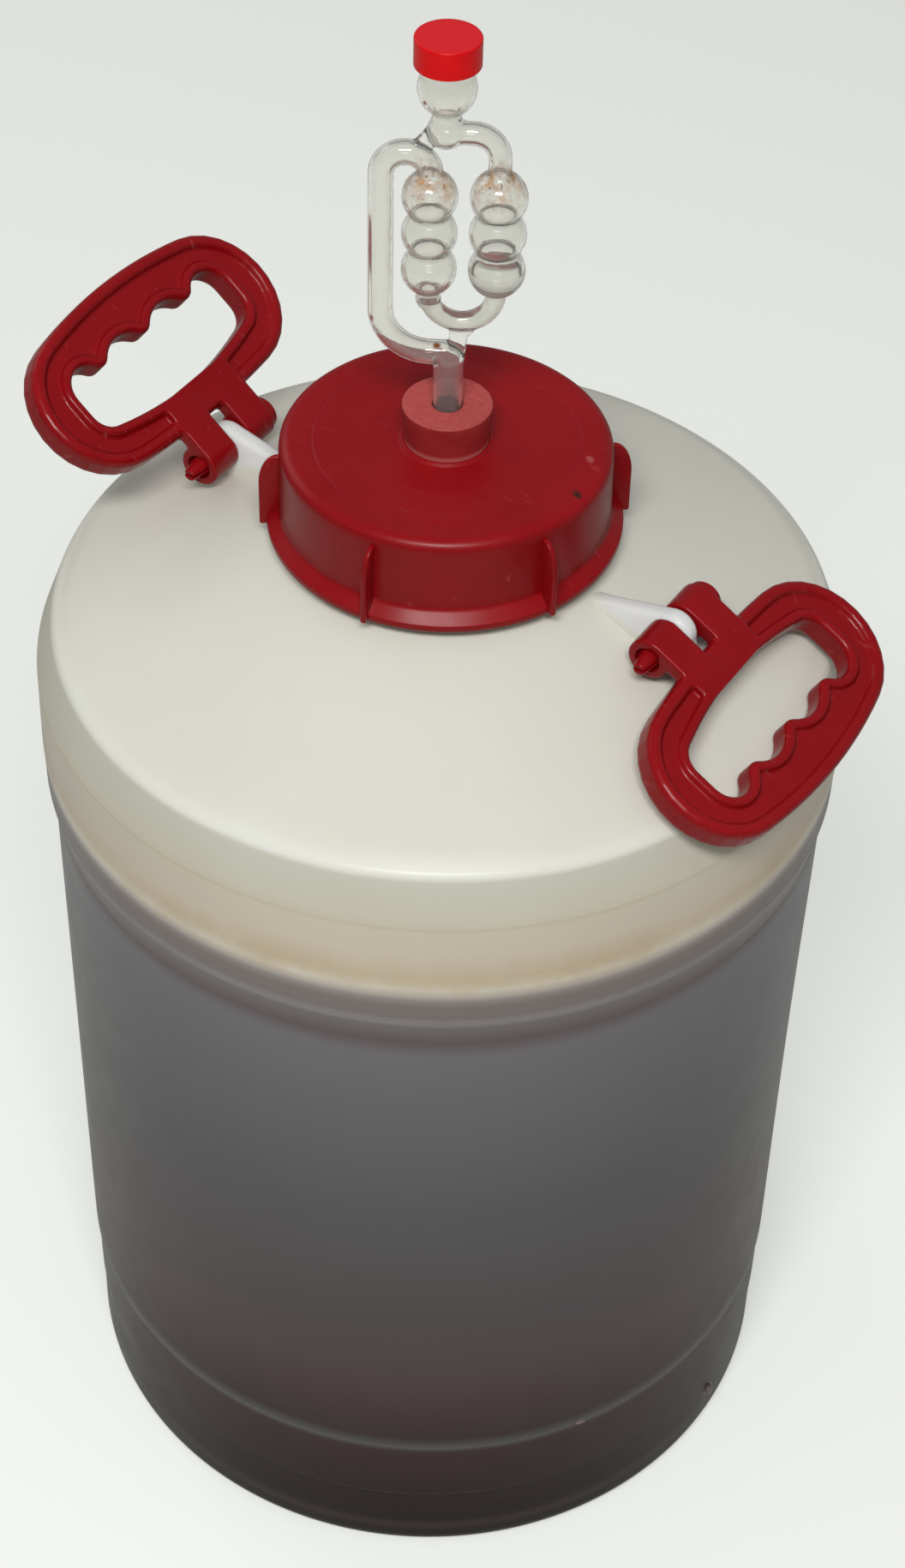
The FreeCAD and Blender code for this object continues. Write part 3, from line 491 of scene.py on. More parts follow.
def polyethylene():
    """Milky, slightly see-through plastic, coloured by height on the wall and stained.

    Below the collar the wall is dark grey, painted darker and redder towards the foot as painted shade
    and a painted reflection, and paler towards the top. Above it the barrel is cream, with a brown tide
    mark just over the collar and dirt in the steps; pale lines on the ledges and a white band on the
    crest are painted highlights.
    """
    finish = Finish("natural_polyethylene")
    axes = finish.add("SeparateXYZ", in_0=finish.place)
    height = axes.outputs["Z"]
    blotch = finish.noise(7.0, 4.0, 0.55)
    fine = finish.noise(60.0, 3.0)
    wavy = finish.reckon("ADD", height, finish.reckon("MULTIPLY_ADD", blotch, 0.003, -0.0015))
    # The wall's colours by height, which carry painted shade, a painted reflection and painted highlights
    ramp = finish.add("ValToRGB", in_0=finish.reckon("DIVIDE", wavy, TOP_HEIGHT))
    stops = ramp.color_ramp.elements
    stops[0].position = 0.0
    stops[0].color = srgb(*WALL_COLOURS_AND_PAINTED_LIGHT[0][1])
    stops[1].position = WALL_COLOURS_AND_PAINTED_LIGHT[-1][0] / TOP_HEIGHT
    stops[1].color = srgb(*WALL_COLOURS_AND_PAINTED_LIGHT[-1][1])
    for z, colour in WALL_COLOURS_AND_PAINTED_LIGHT[1:-1]:
        stops.new(z / TOP_HEIGHT).color = srgb(*colour)
    # Brown tide mark above the collar, broken up by a noise
    band = finish.ranged(height, 0.394, 0.377)
    worn = finish.ranged(finish.noise(16.0, 5.0, 0.7), 0.42, 0.68)
    above = finish.reckon("GREATER_THAN", height, TIDE_HEIGHT)
    amount = finish.reckon("MULTIPLY", finish.reckon("MULTIPLY", band, worn), above)
    colour = finish.mixed(finish.reckon("MULTIPLY", amount, 0.5), ramp, TIDE_COLOUR)
    # Slow patches, a little darker and a little warmer
    patch = finish.ranged(blotch, 0.35, 0.7, 0.0, 0.22)
    colour = finish.mixed(patch, colour, PATCH_COLOUR, "MULTIPLY")
    # The ears have no dirt in them and stay white: they are what stands up above the shoulder's cone
    level = finish.add("CombineXYZ", in_0=axes.outputs["X"], in_1=axes.outputs["Y"])
    reach = finish.add("VectorMath", operation="LENGTH", in_0=level).outputs["Value"]
    over = finish.reckon("MULTIPLY_ADD", reach, SHOULDER_SLOPE, height)
    cone = shoulder_height(0)
    colour = finish.mixed(finish.ranged(over, cone + 0.5 * MM, cone + 5 * MM), colour, EAR_COLOUR)
    # The mould's flash is painted paler than the wall round it: a painted highlight on these small lumps
    for azimuth, radius, z, sizes in FLASH:
        spot = (radius * math.cos(math.radians(azimuth)), radius * math.sin(math.radians(azimuth)), z)
        near = finish.ranged(finish.away(spot), max(sizes) * 1.1, max(sizes) * 0.7)
        colour = finish.mixed(near, colour, FLASH_PAINTED_HIGHLIGHT)
    relief = finish.add("Bump", in_Strength=0.12, in_Distance=0.0006, in_Height=fine)
    finish.surface(Base_Color=colour, Roughness=finish.ranged(fine, start=0.27, end=0.4), Normal=relief,
                   Specular_IOR_Level=0.23, Subsurface_Weight=0.12,
                   Subsurface_Radius=(0.012, 0.01, 0.008), Subsurface_Scale=1.0)
    return finish


def lump(azimuth, radius, z, sizes):
    """A small ellipsoid on the wall: its half sizes outwards, round and up times the unit sphere."""
    latitude = np.linspace(-math.pi / 2, math.pi / 2, 13)[:, None]
    longitude = np.linspace(0, 2 * math.pi, 20, endpoint=False)[None, :]
    out = radius + sizes[0] * np.cos(latitude) * np.cos(longitude)
    round_it = sizes[1] * np.cos(latitude) * np.sin(longitude)
    along = math.radians(azimuth)
    return skin("lump", np.stack([out * math.cos(along) - round_it * math.sin(along),
                                  out * math.sin(along) + round_it * math.cos(along),
                                  z + sizes[2] * np.sin(latitude) + 0 * longitude], axis=-1))


barrel = skin("barrel_body", barrel_surface(), finish=polyethylene())
neck_thread = thread_ridge(NECK_RADIUS, THREAD_DEPTH, NECK_THREAD_START)
cut_or_join(barrel, [ear(1), ear(-1), neck_thread] + [lump(*flash) for flash in FLASH], "UNION")
sharp_above(barrel, 50)
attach(barrel, "barrel")
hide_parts("barrel")

# The lid: one moulded red screw lid with a rounded top edge, a flared foot and six grip ribs that
# run down past the foot. A fine ring is turned in its top, and a low lip stands round the stopper.

LID_TOP = 505.4 * MM
LID_WALL = 2.4 * MM
LID_LIP = 1 * MM
LID_RING = 50.4 * MM
LID_RING_DEPTH = 0.16 * MM
SOCKET_DEPTH = 8 * MM
FIT_GAP = 0.08 * MM
LID_COLUMNS = 256
LID_THREAD_START = 0.4771
LID_RADIUS = 63.2 * MM
LID_FOOT = 468.4 * MM
LID_FOOT_RADIUS = 67.9 * MM
LID_FLARE_TOP = 475.4 * MM
STOPPER_TAPER = 0.0714
STOPPER_TOP = 521.6 * MM
STOPPER_RADIUS = 17.0 * MM
RIB_COUNT = 6
RIB_FIRST = math.radians(-82.5)
RIB_REACH = 70.5 * MM
RIB_TOP = 500 * MM
RIB_CURL = 487 * MM
RIB_HALF = 1.05 * MM


def stopper_radius(z):
    """Radius of the tapered stopper at a height."""
    return STOPPER_RADIUS - (STOPPER_TOP - z) * STOPPER_TAPER


def lid_surface():
    """The lid's section turned round: socket, lip, top with its ring, edge, skirt and inside."""
    under = LID_TOP - LID_WALL
    socket_end = under - SOCKET_DEPTH
    lip = LID_TOP + LID_LIP
    hole_low = stopper_radius(socket_end) + FIT_GAP
    hole_high = stopper_radius(lip) + FIT_GAP
    inner = LID_RADIUS - LID_WALL
    groove = LID_TOP - LID_RING_DEPTH
    section = [(hole_high, lip, 0.3 * MM), (hole_high + 1.2 * MM, lip, 0.4 * MM),
               (hole_high + 1.8 * MM, LID_TOP, 0.6 * MM), (LID_RING - 0.5 * MM, LID_TOP, 0.3 * MM),
               (LID_RING - 0.1 * MM, groove, 0.2 * MM), (LID_RING + 0.1 * MM, groove, 0.2 * MM),
               (LID_RING + 0.5 * MM, LID_TOP, 0.3 * MM), (LID_RADIUS - 0.5 * MM, LID_TOP, 4.4 * MM),
               (LID_RADIUS, LID_FLARE_TOP, 3 * MM), (LID_FOOT_RADIUS, LID_FOOT + 2.6 * MM, 0.8 * MM),
               (LID_FOOT_RADIUS, LID_FOOT, 0.5 * MM), (LID_FOOT_RADIUS - LID_WALL, LID_FOOT, 0.4 * MM),
               (inner, LID_FLARE_TOP - 1.2 * MM, 2 * MM), (inner, under, 1.5 * MM),
               (hole_high + 2.6 * MM, under, 0.8 * MM), (hole_high + 2.6 * MM, socket_end, 0.4 * MM),
               (hole_low, socket_end, 0.3 * MM)]
    start = ((hole_low + hole_high) / 2, (socket_end + lip) / 2, 0)
    return turned(resampled(rounded([start] + section + [start], 5), 3 * MM), LID_COLUMNS)


def rib(angle):
    """A thin plate: its outline in (r, z) carried across its thickness, drawn in near both faces.

    Its outer edge runs up straight and curls over to the skirt on a quarter of an ellipse.
    """
    inner = LID_RADIUS - 1.2 * MM
    curl = np.linspace(math.pi / 2, 0, 14)
    over = np.stack([LID_RADIUS + (RIB_REACH - LID_RADIUS) * np.sin(curl),
                     RIB_CURL + (RIB_TOP - RIB_CURL) * np.cos(curl)], axis=1)
    edge = rounded([(inner, LID_FOOT, 0), (RIB_REACH, LID_FOOT, 0.8 * MM), (RIB_REACH, RIB_CURL, 0)])
    line = resampled(np.vstack([edge, over[1:], [(inner, RIB_TOP)]]), 1.2 * MM)
    inward = np.array([LID_RADIUS, 484 * MM]) - line
    inward /= np.linalg.norm(inward, axis=1, keepdims=True)
    rings = []
    for t in np.linspace(-1, 1, 9):
        draw = 0.7 * MM * (1 - math.sqrt(1 - t ** 4))
        shrunk = line + inward * draw
        y = t * RIB_HALF
        rings.append(np.stack([shrunk[:, 0] * math.cos(angle) - y * math.sin(angle),
                               shrunk[:, 0] * math.sin(angle) + y * math.cos(angle), shrunk[:, 1]], axis=1))
    return skin("rib", np.array(rings), caps=True)


RED_DEEP = srgb(136, 9, 16)
RED_PALE = srgb(147, 15, 22)
# Upright faces are multiplied by this: painted shade
UPRIGHT_PAINTED_SHADE = (0.78, 0.5, 0.6, 1)
SCUFF_COLOUR = srgb(178, 96, 94)
LID_MARKS = ((0.0579, -0.0014, LID_TOP, 3.4 * MM, srgb(48, 30, 22), 0.9),
             (0.0511, 0.0191, LID_TOP, 2.6 * MM, srgb(180, 100, 96), 0.5))


def red_plastic(name, matt, gloss, marks=()):
    """Deep red moulded plastic: faint cloudy shades, a worn gloss and small marks of wear.

    The roughness runs from gloss to matt with a slow noise. Upright faces are painted darker than
    level ones, as painted shade. Each mark is (x, y, z, radius, colour, strength): a
    patch whose edge is torn by a noise.
    """
    finish = Finish(name)
    grime = finish.noise(24.0, 5.0, 0.6)
    # Upright faces, which are painted darker as painted shade
    upright = finish.ranged(finish.part(finish.normal, "Z"), 0.75, 0.2)
    red = finish.tones(grime, 0.3, RED_DEEP, 0.72, RED_PALE)
    colour = finish.mixed(upright, red, UPRIGHT_PAINTED_SHADE, "MULTIPLY")
    # Fine pale scuffs, where a stretched noise peaks
    lengthened = finish.add("Mapping", in_Vector=finish.place, in_Scale=(60.0, 420.0, 200.0))
    scuff = finish.ranged(finish.noise(1.0, 3.0, place=lengthened), 0.66, 0.8, 0.0, 0.3)
    colour = finish.mixed(scuff, colour, SCUFF_COLOUR)
    tear = finish.noise(330.0, 4.0, 0.7)
    for x, y, z, radius, tone, strength in marks:
        torn = finish.reckon("MULTIPLY_ADD", tear, 2 * radius, finish.away((x, y, z)))
        near = finish.ranged(torn, 1.7 * radius, 1.3 * radius, 0.0, strength)
        colour = finish.mixed(near, colour, tone)
    relief = finish.add("Bump", in_Strength=0.12, in_Distance=0.0002, in_Height=finish.noise(900.0))
    finish.surface(Base_Color=colour, Roughness=finish.ranged(grime, 0.3, 0.7, gloss, matt), Normal=relief,
                   Specular_IOR_Level=0.2)
    return finish


lid = skin("lid_cap", lid_surface(), finish=red_plastic("red_plastic", 0.4, 0.26, LID_MARKS))
ribs = [rib(RIB_FIRST + number * 2 * math.pi / RIB_COUNT) for number in range(RIB_COUNT)]
cut_or_join(lid, ribs + [thread_ridge(LID_RADIUS - LID_WALL, -THREAD_DEPTH, LID_THREAD_START)], "UNION")
sharp_above(lid, 50)
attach(lid, "lid")
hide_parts("lid")

# The gasket: a flat pale rubber ring that lies on the neck's rim under the lid.

GASKET_DARK = srgb(196, 192, 182)
GASKET_PALE = srgb(226, 222, 212)

gasket_finish = Finish("seal_rubber")
mottle = gasket_finish.tones(gasket_finish.noise(120.0, 4.0), 0.0, GASKET_DARK, 1.0, GASKET_PALE)
gasket_finish.surface(Base_Color=mottle, Roughness=0.8)
dress(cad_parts["lid_gasket"], gasket_finish)

# The stopper: a tapered plug of brick-red rubber with one bore, pushed into the lid's socket. Its
# top is paler and dusty, and its moulded side is a little shiny.

STOPPER_LENGTH = 27 * MM
STEM_RADIUS = 5.6 * MM
SIDE_DEEP = srgb(138, 28, 30)
SIDE_PALE = srgb(152, 42, 42)
BLOOM_DEEP = srgb(168, 62, 60)
BLOOM_PALE = srgb(180, 78, 74)
DUST_COLOUR = srgb(196, 118, 112)


def stopper_surface():
    """The section turned round: bore, foot, tapered side and top."""
    bottom = STOPPER_TOP - STOPPER_LENGTH
    bore = STEM_RADIUS + FIT_GAP
    section = [(bore, bottom, 0.4 * MM), (stopper_radius(bottom), bottom, 0.8 * MM),
               (STOPPER_RADIUS, STOPPER_TOP, 0.6 * MM), (bore, STOPPER_TOP, 0.5 * MM)]
    start = (bore, (STOPPER_TOP + bottom) / 2, 0)
    return turned(resampled(rounded([start] + section + [start], 5), 2 * MM), 160)


def brick_rubber():
    """Matte filled rubber: a grainy brick red, paler where the top has bloomed."""
    finish = Finish("red_rubber")
    grain = finish.noise(420.0, 4.0)
    top = finish.ranged(finish.part(finish.normal, "Z"), 0.5, 0.95)
    sides = finish.tones(finish.noise(90.0, 3.0), 0.3, SIDE_DEEP, 0.7, SIDE_PALE)
    colour = finish.mixed(top, sides, finish.tones(grain, 0.3, BLOOM_DEEP, 0.75, BLOOM_PALE))
    # Rubber dust gathers where the side goes down into the lid
    over = finish.reckon("SUBTRACT", finish.part(finish.place, "Z"), LID_TOP + 0.8 * MM)
    edge = finish.ranged(finish.reckon("ABSOLUTE", over), 2.4 * MM, 0.8 * MM, 0.0, 0.55)
    relief = finish.add("Bump", in_Strength=0.3, in_Distance=0.0002, in_Height=grain)
    finish.surface(Base_Color=finish.mixed(edge, colour, DUST_COLOUR),
                   Roughness=finish.ranged(top, start=0.48, end=0.75), Normal=relief)
    return finish


stopper = skin("rubber_stopper", stopper_surface(), finish=brick_rubber())
sharp_above(stopper, 50)
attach(stopper, "stopper")
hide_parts("stopper")

# The airlock: tubes and bulbs of clear glass, blown and melted together by hand. Its outer skin
# and its hollow are each a union of balls and bent tubes, and the hollow is cut out of the skin,
# so that the wall has its real thickness and bends light twice.

AIRLOCK_TURN = math.radians(32)
GLASS_WALL = 1.2 * MM
GLASS_VOXEL = 0.66 * MM
GLASS_SMOOTHING = 6
# Places along the airlock's own plane from the stem, u, and heights
FEED_U = -25.0 * MM
INLET_U = -7.8 * MM
CUP_U = -2.5 * MM
OUTLET_U = 16.4 * MM
STEM_FOOT = 0.486
STEM_HEAD = 0.542
FEED_LOW = 0.5445
FEED_HIGH = 0.6286
TRAP_BEND = 0.5583
INLET_FOOT = 0.5684
BULB_HEIGHTS = (0.5808, 0.59585, 0.6109)
VENT_HIGH = 0.6365
WAIST_HEIGHT = 0.6376
CUP_HEIGHT = 0.6542
LIP_LOW = 0.6694
GLASS_TOP = 0.672
# Flat bridges of glass as (u, z) in millimetres: between feed tube and cup, and under the trap
UPPER_WEB = ((-7.9, 640.0), (-11.0, 636.0), (-13.9, 632.4), (-10.1, 628.6), (-4.9, 632.2))
LOWER_WEB = ((0, 558.3), (9.9, 556.1), (6.5, 551.3), (6.1, 545), (5.4, 540), (0, 540))
WEB_HALF = 1.7 * MM
# A warm grey tint on the glass: painted shade
GLASS_TINT_PAINTED_SHADE = (0.945, 0.938, 0.9, 1)
STAIN_COLOUR = srgb(206, 150, 88)
# The stains come in over the first two heights and go out over the others, from this u on
STAIN_LOW = (0.610, 0.6195)
STAIN_HIGH = (0.625, 0.6215)
STAIN_FROM = -18.5 * MM
SPECK_COLOUR = srgb(128, 66, 24)


def aimed(u, depth, z):
    """Points of the airlock's own plane, put where it stands: turned about the stopper's axis."""
    return np.stack([u * math.cos(AIRLOCK_TURN) - depth * math.sin(AIRLOCK_TURN),
                     u * math.sin(AIRLOCK_TURN) + depth * math.cos(AIRLOCK_TURN),
                     np.broadcast_to(z, np.shape(u * 1.0))], axis=-1)


def lathed(u, section, columns=72):
    """A section of (r, z) points carried round an upright axis at u."""
    section = np.array(section)
    angle = np.linspace(0, 2 * math.pi, columns, endpoint=False)[None, :]
    r = section[:, 0][:, None]
    return aimed(u + r * np.cos(angle), r * np.sin(angle), section[:, 1][:, None] + 0 * angle)


def ball(u, z, radius):
    """A sphere by latitude and longitude."""
    latitude = np.linspace(-math.pi / 2, math.pi / 2, 49)
    section = np.stack([radius * np.cos(latitude), z + radius * np.sin(latitude)], axis=1)
    return skin("ball", lathed(u, section))


def bent_tube(corners, radius):
    """A round tube along a line of (u, z, bend radius) corners in the airlock's plane."""
    line = resampled(rounded(corners, 16), 1.2 * MM)
    ahead = np.gradient(line, axis=0)
    ahead = ahead / np.linalg.norm(ahead, axis=1, keepdims=True)
    across = np.stack([-ahead[:, 1], ahead[:, 0]], axis=1)
    angle = np.linspace(0, 2 * math.pi, 40, endpoint=False)[None, :]
    u = line[:, 0][:, None] + across[:, 0][:, None] * radius * np.cos(angle)
    z = line[:, 1][:, None] + across[:, 1][:, None] * radius * np.cos(angle)
    return skin("tube", aimed(u, np.broadcast_to(radius * np.sin(angle), u.shape), z), caps=True)


def upright_tube(u, radius, low, high):
    """A straight upright tube, filled."""
    return skin("turned_glass", lathed(u, [(radius, low), (radius, high)]), caps=True)


def web(points):
    """A flat bridge of glass through a closed line of (u, z) points in millimetres."""
    line = np.array(points) * MM
    rings = [aimed(line[:, 0], np.full(len(line), depth), line[:, 1]) for depth in (-WEB_HALF, WEB_HALF)]
    return skin("web", np.array(rings), caps=True)


def airlock_shape(name, inset):
    """All balls and tubes of the airlock with their radii less by the inset, made one skin.

    The hollow of the stem and the cup runs out past the glass, where they are open.
    """
    past = 2 * MM if inset else 0.0
    first, last = BULB_HEIGHTS[0], BULB_HEIGHTS[-1]
    feed = [(0, FEED_LOW, 0), (FEED_U, FEED_LOW, 19 * MM), (FEED_U, FEED_HIGH, 8.6 * MM),
            (INLET_U, FEED_HIGH, 8.6 * MM), (INLET_U, last, 0)]
    trap = [(INLET_U, first, 0), (INLET_U, TRAP_BEND, 12.1 * MM), (OUTLET_U, TRAP_BEND, 12.1 * MM),
            (OUTLET_U, first, 0)]
    vent = [(OUTLET_U, last, 0), (OUTLET_U, VENT_HIGH, 10 * MM), (CUP_U, VENT_HIGH, 0)]
    parts = [
        bent_tube(feed, 4.6 * MM - inset),
        bent_tube(trap, 3.7 * MM - inset),
        bent_tube(vent, 4.15 * MM - inset),
        ball(0, STEM_HEAD, STEM_RADIUS - inset),
        ball(INLET_U, INLET_FOOT, 4.7 * MM - inset),
        ball(CUP_U, WAIST_HEIGHT, 6.8 * MM - inset),
        ball(CUP_U, CUP_HEIGHT, 10.4 * MM - inset),
        upright_tube(CUP_U, 5.2 * MM - inset, WAIST_HEIGHT, CUP_HEIGHT),
        upright_tube(CUP_U, 9 * MM - inset, CUP_HEIGHT, GLASS_TOP + past),
        upright_tube(0, STEM_RADIUS - inset, STEM_FOOT - past, STEM_HEAD),
    ]
    for z in BULB_HEIGHTS:
        parts.append(ball(INLET_U, z, 10 * MM - inset))
        parts.append(ball(OUTLET_U, z, 10.3 * MM - inset))
    if not inset:
        lip = rounded([(8 * MM, LIP_LOW, 0), (10.7 * MM, LIP_LOW, 1 * MM), (10.7 * MM, GLASS_TOP, 1 * MM),
                       (8 * MM, GLASS_TOP, 0)])
        parts += [skin("turned_glass", lathed(CUP_U, lip), caps=True), web(UPPER_WEB), web(LOWER_WEB)]
    return melted(name, parts, GLASS_VOXEL, GLASS_SMOOTHING)


def clear_glass():
    """Clear glass with a warm grey tint that is painted shade, and dried orange-brown must in the top of the
    bulbs.

    The stains are mixed in as a dull coat where a noise passes a height-dependent threshold, with
    darker specks in it, and one more spot sits where the feed tube leaves the stem.
    """
    finish = Finish("clear_glass")
    height = finish.part(finish.place, "Z")
    zone = finish.reckon("MULTIPLY", finish.ranged(height, *STAIN_LOW), finish.ranged(height, *STAIN_HIGH))
    along = finish.add("VectorMath", operation="DOT_PRODUCT", in_0=finish.place,
                       in_1=(math.cos(AIRLOCK_TURN), math.sin(AIRLOCK_TURN), 0)).outputs["Value"]
    zone = finish.reckon("MULTIPLY", zone, finish.reckon("GREATER_THAN", along, STAIN_FROM))
    stain = finish.reckon("MULTIPLY", zone, finish.ranged(finish.noise(260.0, 5.0, 0.6), 0.45, 0.66))
    dots = finish.reckon("MULTIPLY", zone, finish.ranged(finish.noise(620.0), 0.64, 0.68))
    drip = finish.away(aimed(-4.4 * MM, -2 * MM, 0.5489).tolist())
    dots = finish.reckon("MAXIMUM", dots, finish.ranged(drip, 2 * MM, 1 * MM))
    colour = finish.mixed(dots, finish.mixed(stain, GLASS_TINT_PAINTED_SHADE, STAIN_COLOUR), SPECK_COLOUR)
    coat = finish.reckon("MAXIMUM", stain, dots)
    finish.surface(Base_Color=colour, Roughness=finish.ranged(coat, start=0.0, end=0.35),
                   Transmission_Weight=finish.ranged(coat, start=0.93, end=0.6), IOR=1.47)
    return finish


airlock = airlock_shape("airlock_tubes", 0.0)
cut_or_join(airlock, [airlock_shape("airlock_hollow", GLASS_WALL)], "DIFFERENCE")
dress(airlock, clear_glass())
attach(airlock, "airlock")
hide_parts("airlock_glass", "cup_glass")

# The water in the trap, clear and level: it stands low on the inlet side and higher on the outlet
# side, where the gas has pushed it. It wets the glass, so it reaches just into the wall.

INLET_LEVEL = 0.5674
OUTLET_LEVEL = 0.5815
TRAP_LOW = 0.5535
MIDDLE_U = (INLET_U + OUTLET_U) / 2
WATER_DARK = (0.93, 0.93, 0.92, 1)
WATER_PALE = (0.99, 0.98, 0.97, 1)


def block(u_low, u_high, z_high):
    """A plain box in the airlock's plane, only used to cut with."""
    line = np.array([(u_low, TRAP_LOW), (u_high, TRAP_LOW), (u_high, z_high), (u_low, z_high)])
    rings = [aimed(line[:, 0], np.full(4, depth), line[:, 1]) for depth in (-0.02, 0.02)]
    return skin("block", np.array(rings), caps=True)


water = airlock_shape("trap_water", GLASS_WALL - 0.05 * MM)
room = block(INLET_U - 4.8 * MM, MIDDLE_U, INLET_LEVEL)
cut_or_join(room, [block(MIDDLE_U - 0.1 * MM, 0.05, OUTLET_LEVEL)], "UNION")
cut_or_join(water, [room], "INTERSECT")
water_finish = Finish("water")
cloud = water_finish.tones(water_finish.noise(150.0), 0.0, WATER_DARK, 1.0, WATER_PALE)
water_finish.surface(Base_Color=cloud, Transmission_Weight=1.0, Roughness=0.0, IOR=1.33)
dress(water, water_finish)
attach(water, "airlock")
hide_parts("airlock_liquid")

# The cap: a thin bright red moulding pushed over the lip of the airlock's cup.

CAP_OUTER = 11.75 * MM
CAP_INNER = 10.85 * MM
CAP_FOOT = 0.6633
CAP_TOP = 0.6738
CAP_DEEP = srgb(203, 3, 8)
CAP_PALE = srgb(212, 7, 14)
CAP_TOP_PAINTED_SHEEN = srgb(213, 32, 38)


def cap_surface():
    """The section from the middle of the underside over the skirt to the middle of the top."""
    section = [(0, GLASS_TOP, 0), (CAP_INNER, GLASS_TOP, 0.4 * MM), (CAP_INNER, CAP_FOOT, 0.2 * MM),
               (CAP_OUTER, CAP_FOOT, 0.2 * MM), (CAP_OUTER, CAP_TOP, 0.7 * MM), (0, CAP_TOP, 0)]
    return lathed(CUP_U, resampled(rounded(section, 6), 1.2 * MM), 128)


def bright_plastic():
    """Glossy bright red with a slightly duller, finely scuffed top that is painted paler as a painted sheen.
    """
    finish = Finish("bright_red_plastic")
    scuff = finish.noise(300.0, 5.0)
    # The top is painted paler than the side: a painted sheen
    top = finish.ranged(finish.part(finish.normal, "Z"), 0.6, 0.9)
    colour = finish.mixed(top, finish.tones(scuff, 0.3, CAP_DEEP, 0.7, CAP_PALE), CAP_TOP_PAINTED_SHEEN)
    finish.surface(Base_Color=colour, Roughness=finish.ranged(scuff, start=0.22, end=0.4),
                   Specular_IOR_Level=0.16)
    return finish


cap = skin("airlock_push_cap", cap_surface(), finish=bright_plastic())
sharp_above(cap, 50)
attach(cap, "airlock_cap")
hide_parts("airlock_cap")

# The two carrying handles, moulded in the lid's red. Each is a flat ring with a bead along both
# edges, finger hollows in its grip and two straps that curl down into bosses round the pin.

HANDLE_HIGH = 8 * MM
HANDLE_LOW = -4 * MM
OUTER_BEAD = 5.6 * MM
INNER_BEAD = 4.4 * MM
WEB_RECESS = 2.6 * MM
HANDLE_VOXEL = 0.7 * MM
HANDLE_SMOOTHING = 3
HANDLE_COLUMNS = 360
TILTS = {"right": -29.3, "left": 38.0}
BOSS_RADIUS = 8.3 * MM
ARM_INNER = 4.65 * MM
ARM_OUTER = 20.15 * MM
STRAP = 6.2 * MM
STRAP_END = 24 * MM
PAD_START = 14 * MM
PAD_END = 27.5 * MM
PIN_HOLE = 3.5 * MM
PIN_RECESS = 5.2 * MM
RECESS_DEPTH = 3 * MM


def belt(circles, grow=0.0, steps=14):
    """Points on the outline round a chain of circles (s, t, radius) in millimetres.

    A positive radius turns left and a negative one right; each circle gives an arc between the
    tangents to its neighbours, and a grown outline has as many points as the plain one.
    """
    centres = np.array([c[:2] for c in circles]) * MM
    radii = np.array([c[2] for c in circles]) * MM + grow
    step = np.roll(centres, -1, axis=0) - centres
    reach = np.linalg.norm(step, axis=1)
    ratio = np.clip((np.roll(radii, -1) - radii) / reach, -1, 1)
    heading = np.arctan2(step[:, 1], step[:, 0]) - np.arcsin(ratio)
    leave = heading - math.pi / 2
    arrive = np.roll(leave, 1)
    points = []
    for number in range(len(circles)):
        sweep = (leave[number] - arrive[number] + 1e-9) % (2 * math.pi)
        if radii[number] < 0:
            sweep -= 2 * math.pi
        angle = arrive[number] + np.linspace(0, 1, steps) * sweep
        points.append(centres[number] + radii[number] * np.stack([np.cos(angle), np.sin(angle)], axis=1))
    return np.vstack(points)


def side_radius(bulge, end_t, end_radius):
    """Radius of a long side that bulges past the end circles' centres by the given distance."""
    return (bulge ** 2 + end_t ** 2 - end_radius ** 2) / (2 * (bulge - end_radius))


def handle_outline():
    """The handle's outer line as circles (s, t, radius): s leads away from the pin, t along it."""
    end_s, end_t, end = 44.5, 37.3, 30.0
    grip = side_radius(78.2 - end_s, end_t, end)
    back = side_radius(end_s - 12.8, end_t, end)
    return [(78.2 - grip, 0, grip), (end_s, end_t, end), (12.8 + back, 0, back), (end_s, -end_t, end)]


def hole_outline():
    """Four finger hollows with three bumps between them on the grip side, and a bulging back."""
    pitch, depth, bottom, bump = 27.2, 5.3, 58.3, 5.0
    hollow = ((pitch / 2) ** 2 + depth ** 2) / (2 * depth) - bump
    bump_s = bottom - depth + bump
    rise = bump_s - bottom
    run = 48.0 - pitch
    total = run + bump - rise
    corner = total - math.sqrt(total ** 2 - rise ** 2 - run ** 2 + bump ** 2)
    inner_s, inner_t = 40.5, 39.5
    back = side_radius(inner_s - 27.2, inner_t, 8.5)
    half = [(bump_s, pitch, -bump), (bottom - corner, 48.0 - corner, corner), (inner_s, inner_t, 8.5)]
    mirrored = [(s, -t, r) for s, t, r in reversed(half)]
    return ([(bump_s, 0, -bump), (bottom - hollow, pitch / 2, hollow)] + half + [(27.2 + back, 0, back)]
            + mirrored + [(bottom - hollow, -pitch / 2, hollow)])


def carried(name, circles, section):
    """A section of (inset, h) points carried round an outline, each as its own parallel line."""
    rings = [np.insert(belt(circles, -inset), 2, h, axis=1) for inset, h in section]
    return skin(name, np.array(rings + rings[:1]))


def bead(name, circles, width, side):
    """A bead of rounded section along an outline; side is 1 inside it and -1 outside it."""
    r, inner_r = 0.53 * width, 0.4 * width
    corners = [(0.55 * width, HANDLE_LOW, 0), (0, HANDLE_LOW, r), (0, HANDLE_HIGH, r),
               (width, HANDLE_HIGH, inner_r), (width, HANDLE_LOW, inner_r), (0.55 * width, HANDLE_LOW, 0)]
    line = rounded(corners, 6)[:-1]
    line[:, 0] *= side
    return carried(name, circles, line)


def round_line(radius, angles):
    """Points on a circle about the pin's axis, in s and h."""
    return radius * np.stack([np.cos(angles), np.sin(angles)], axis=1)


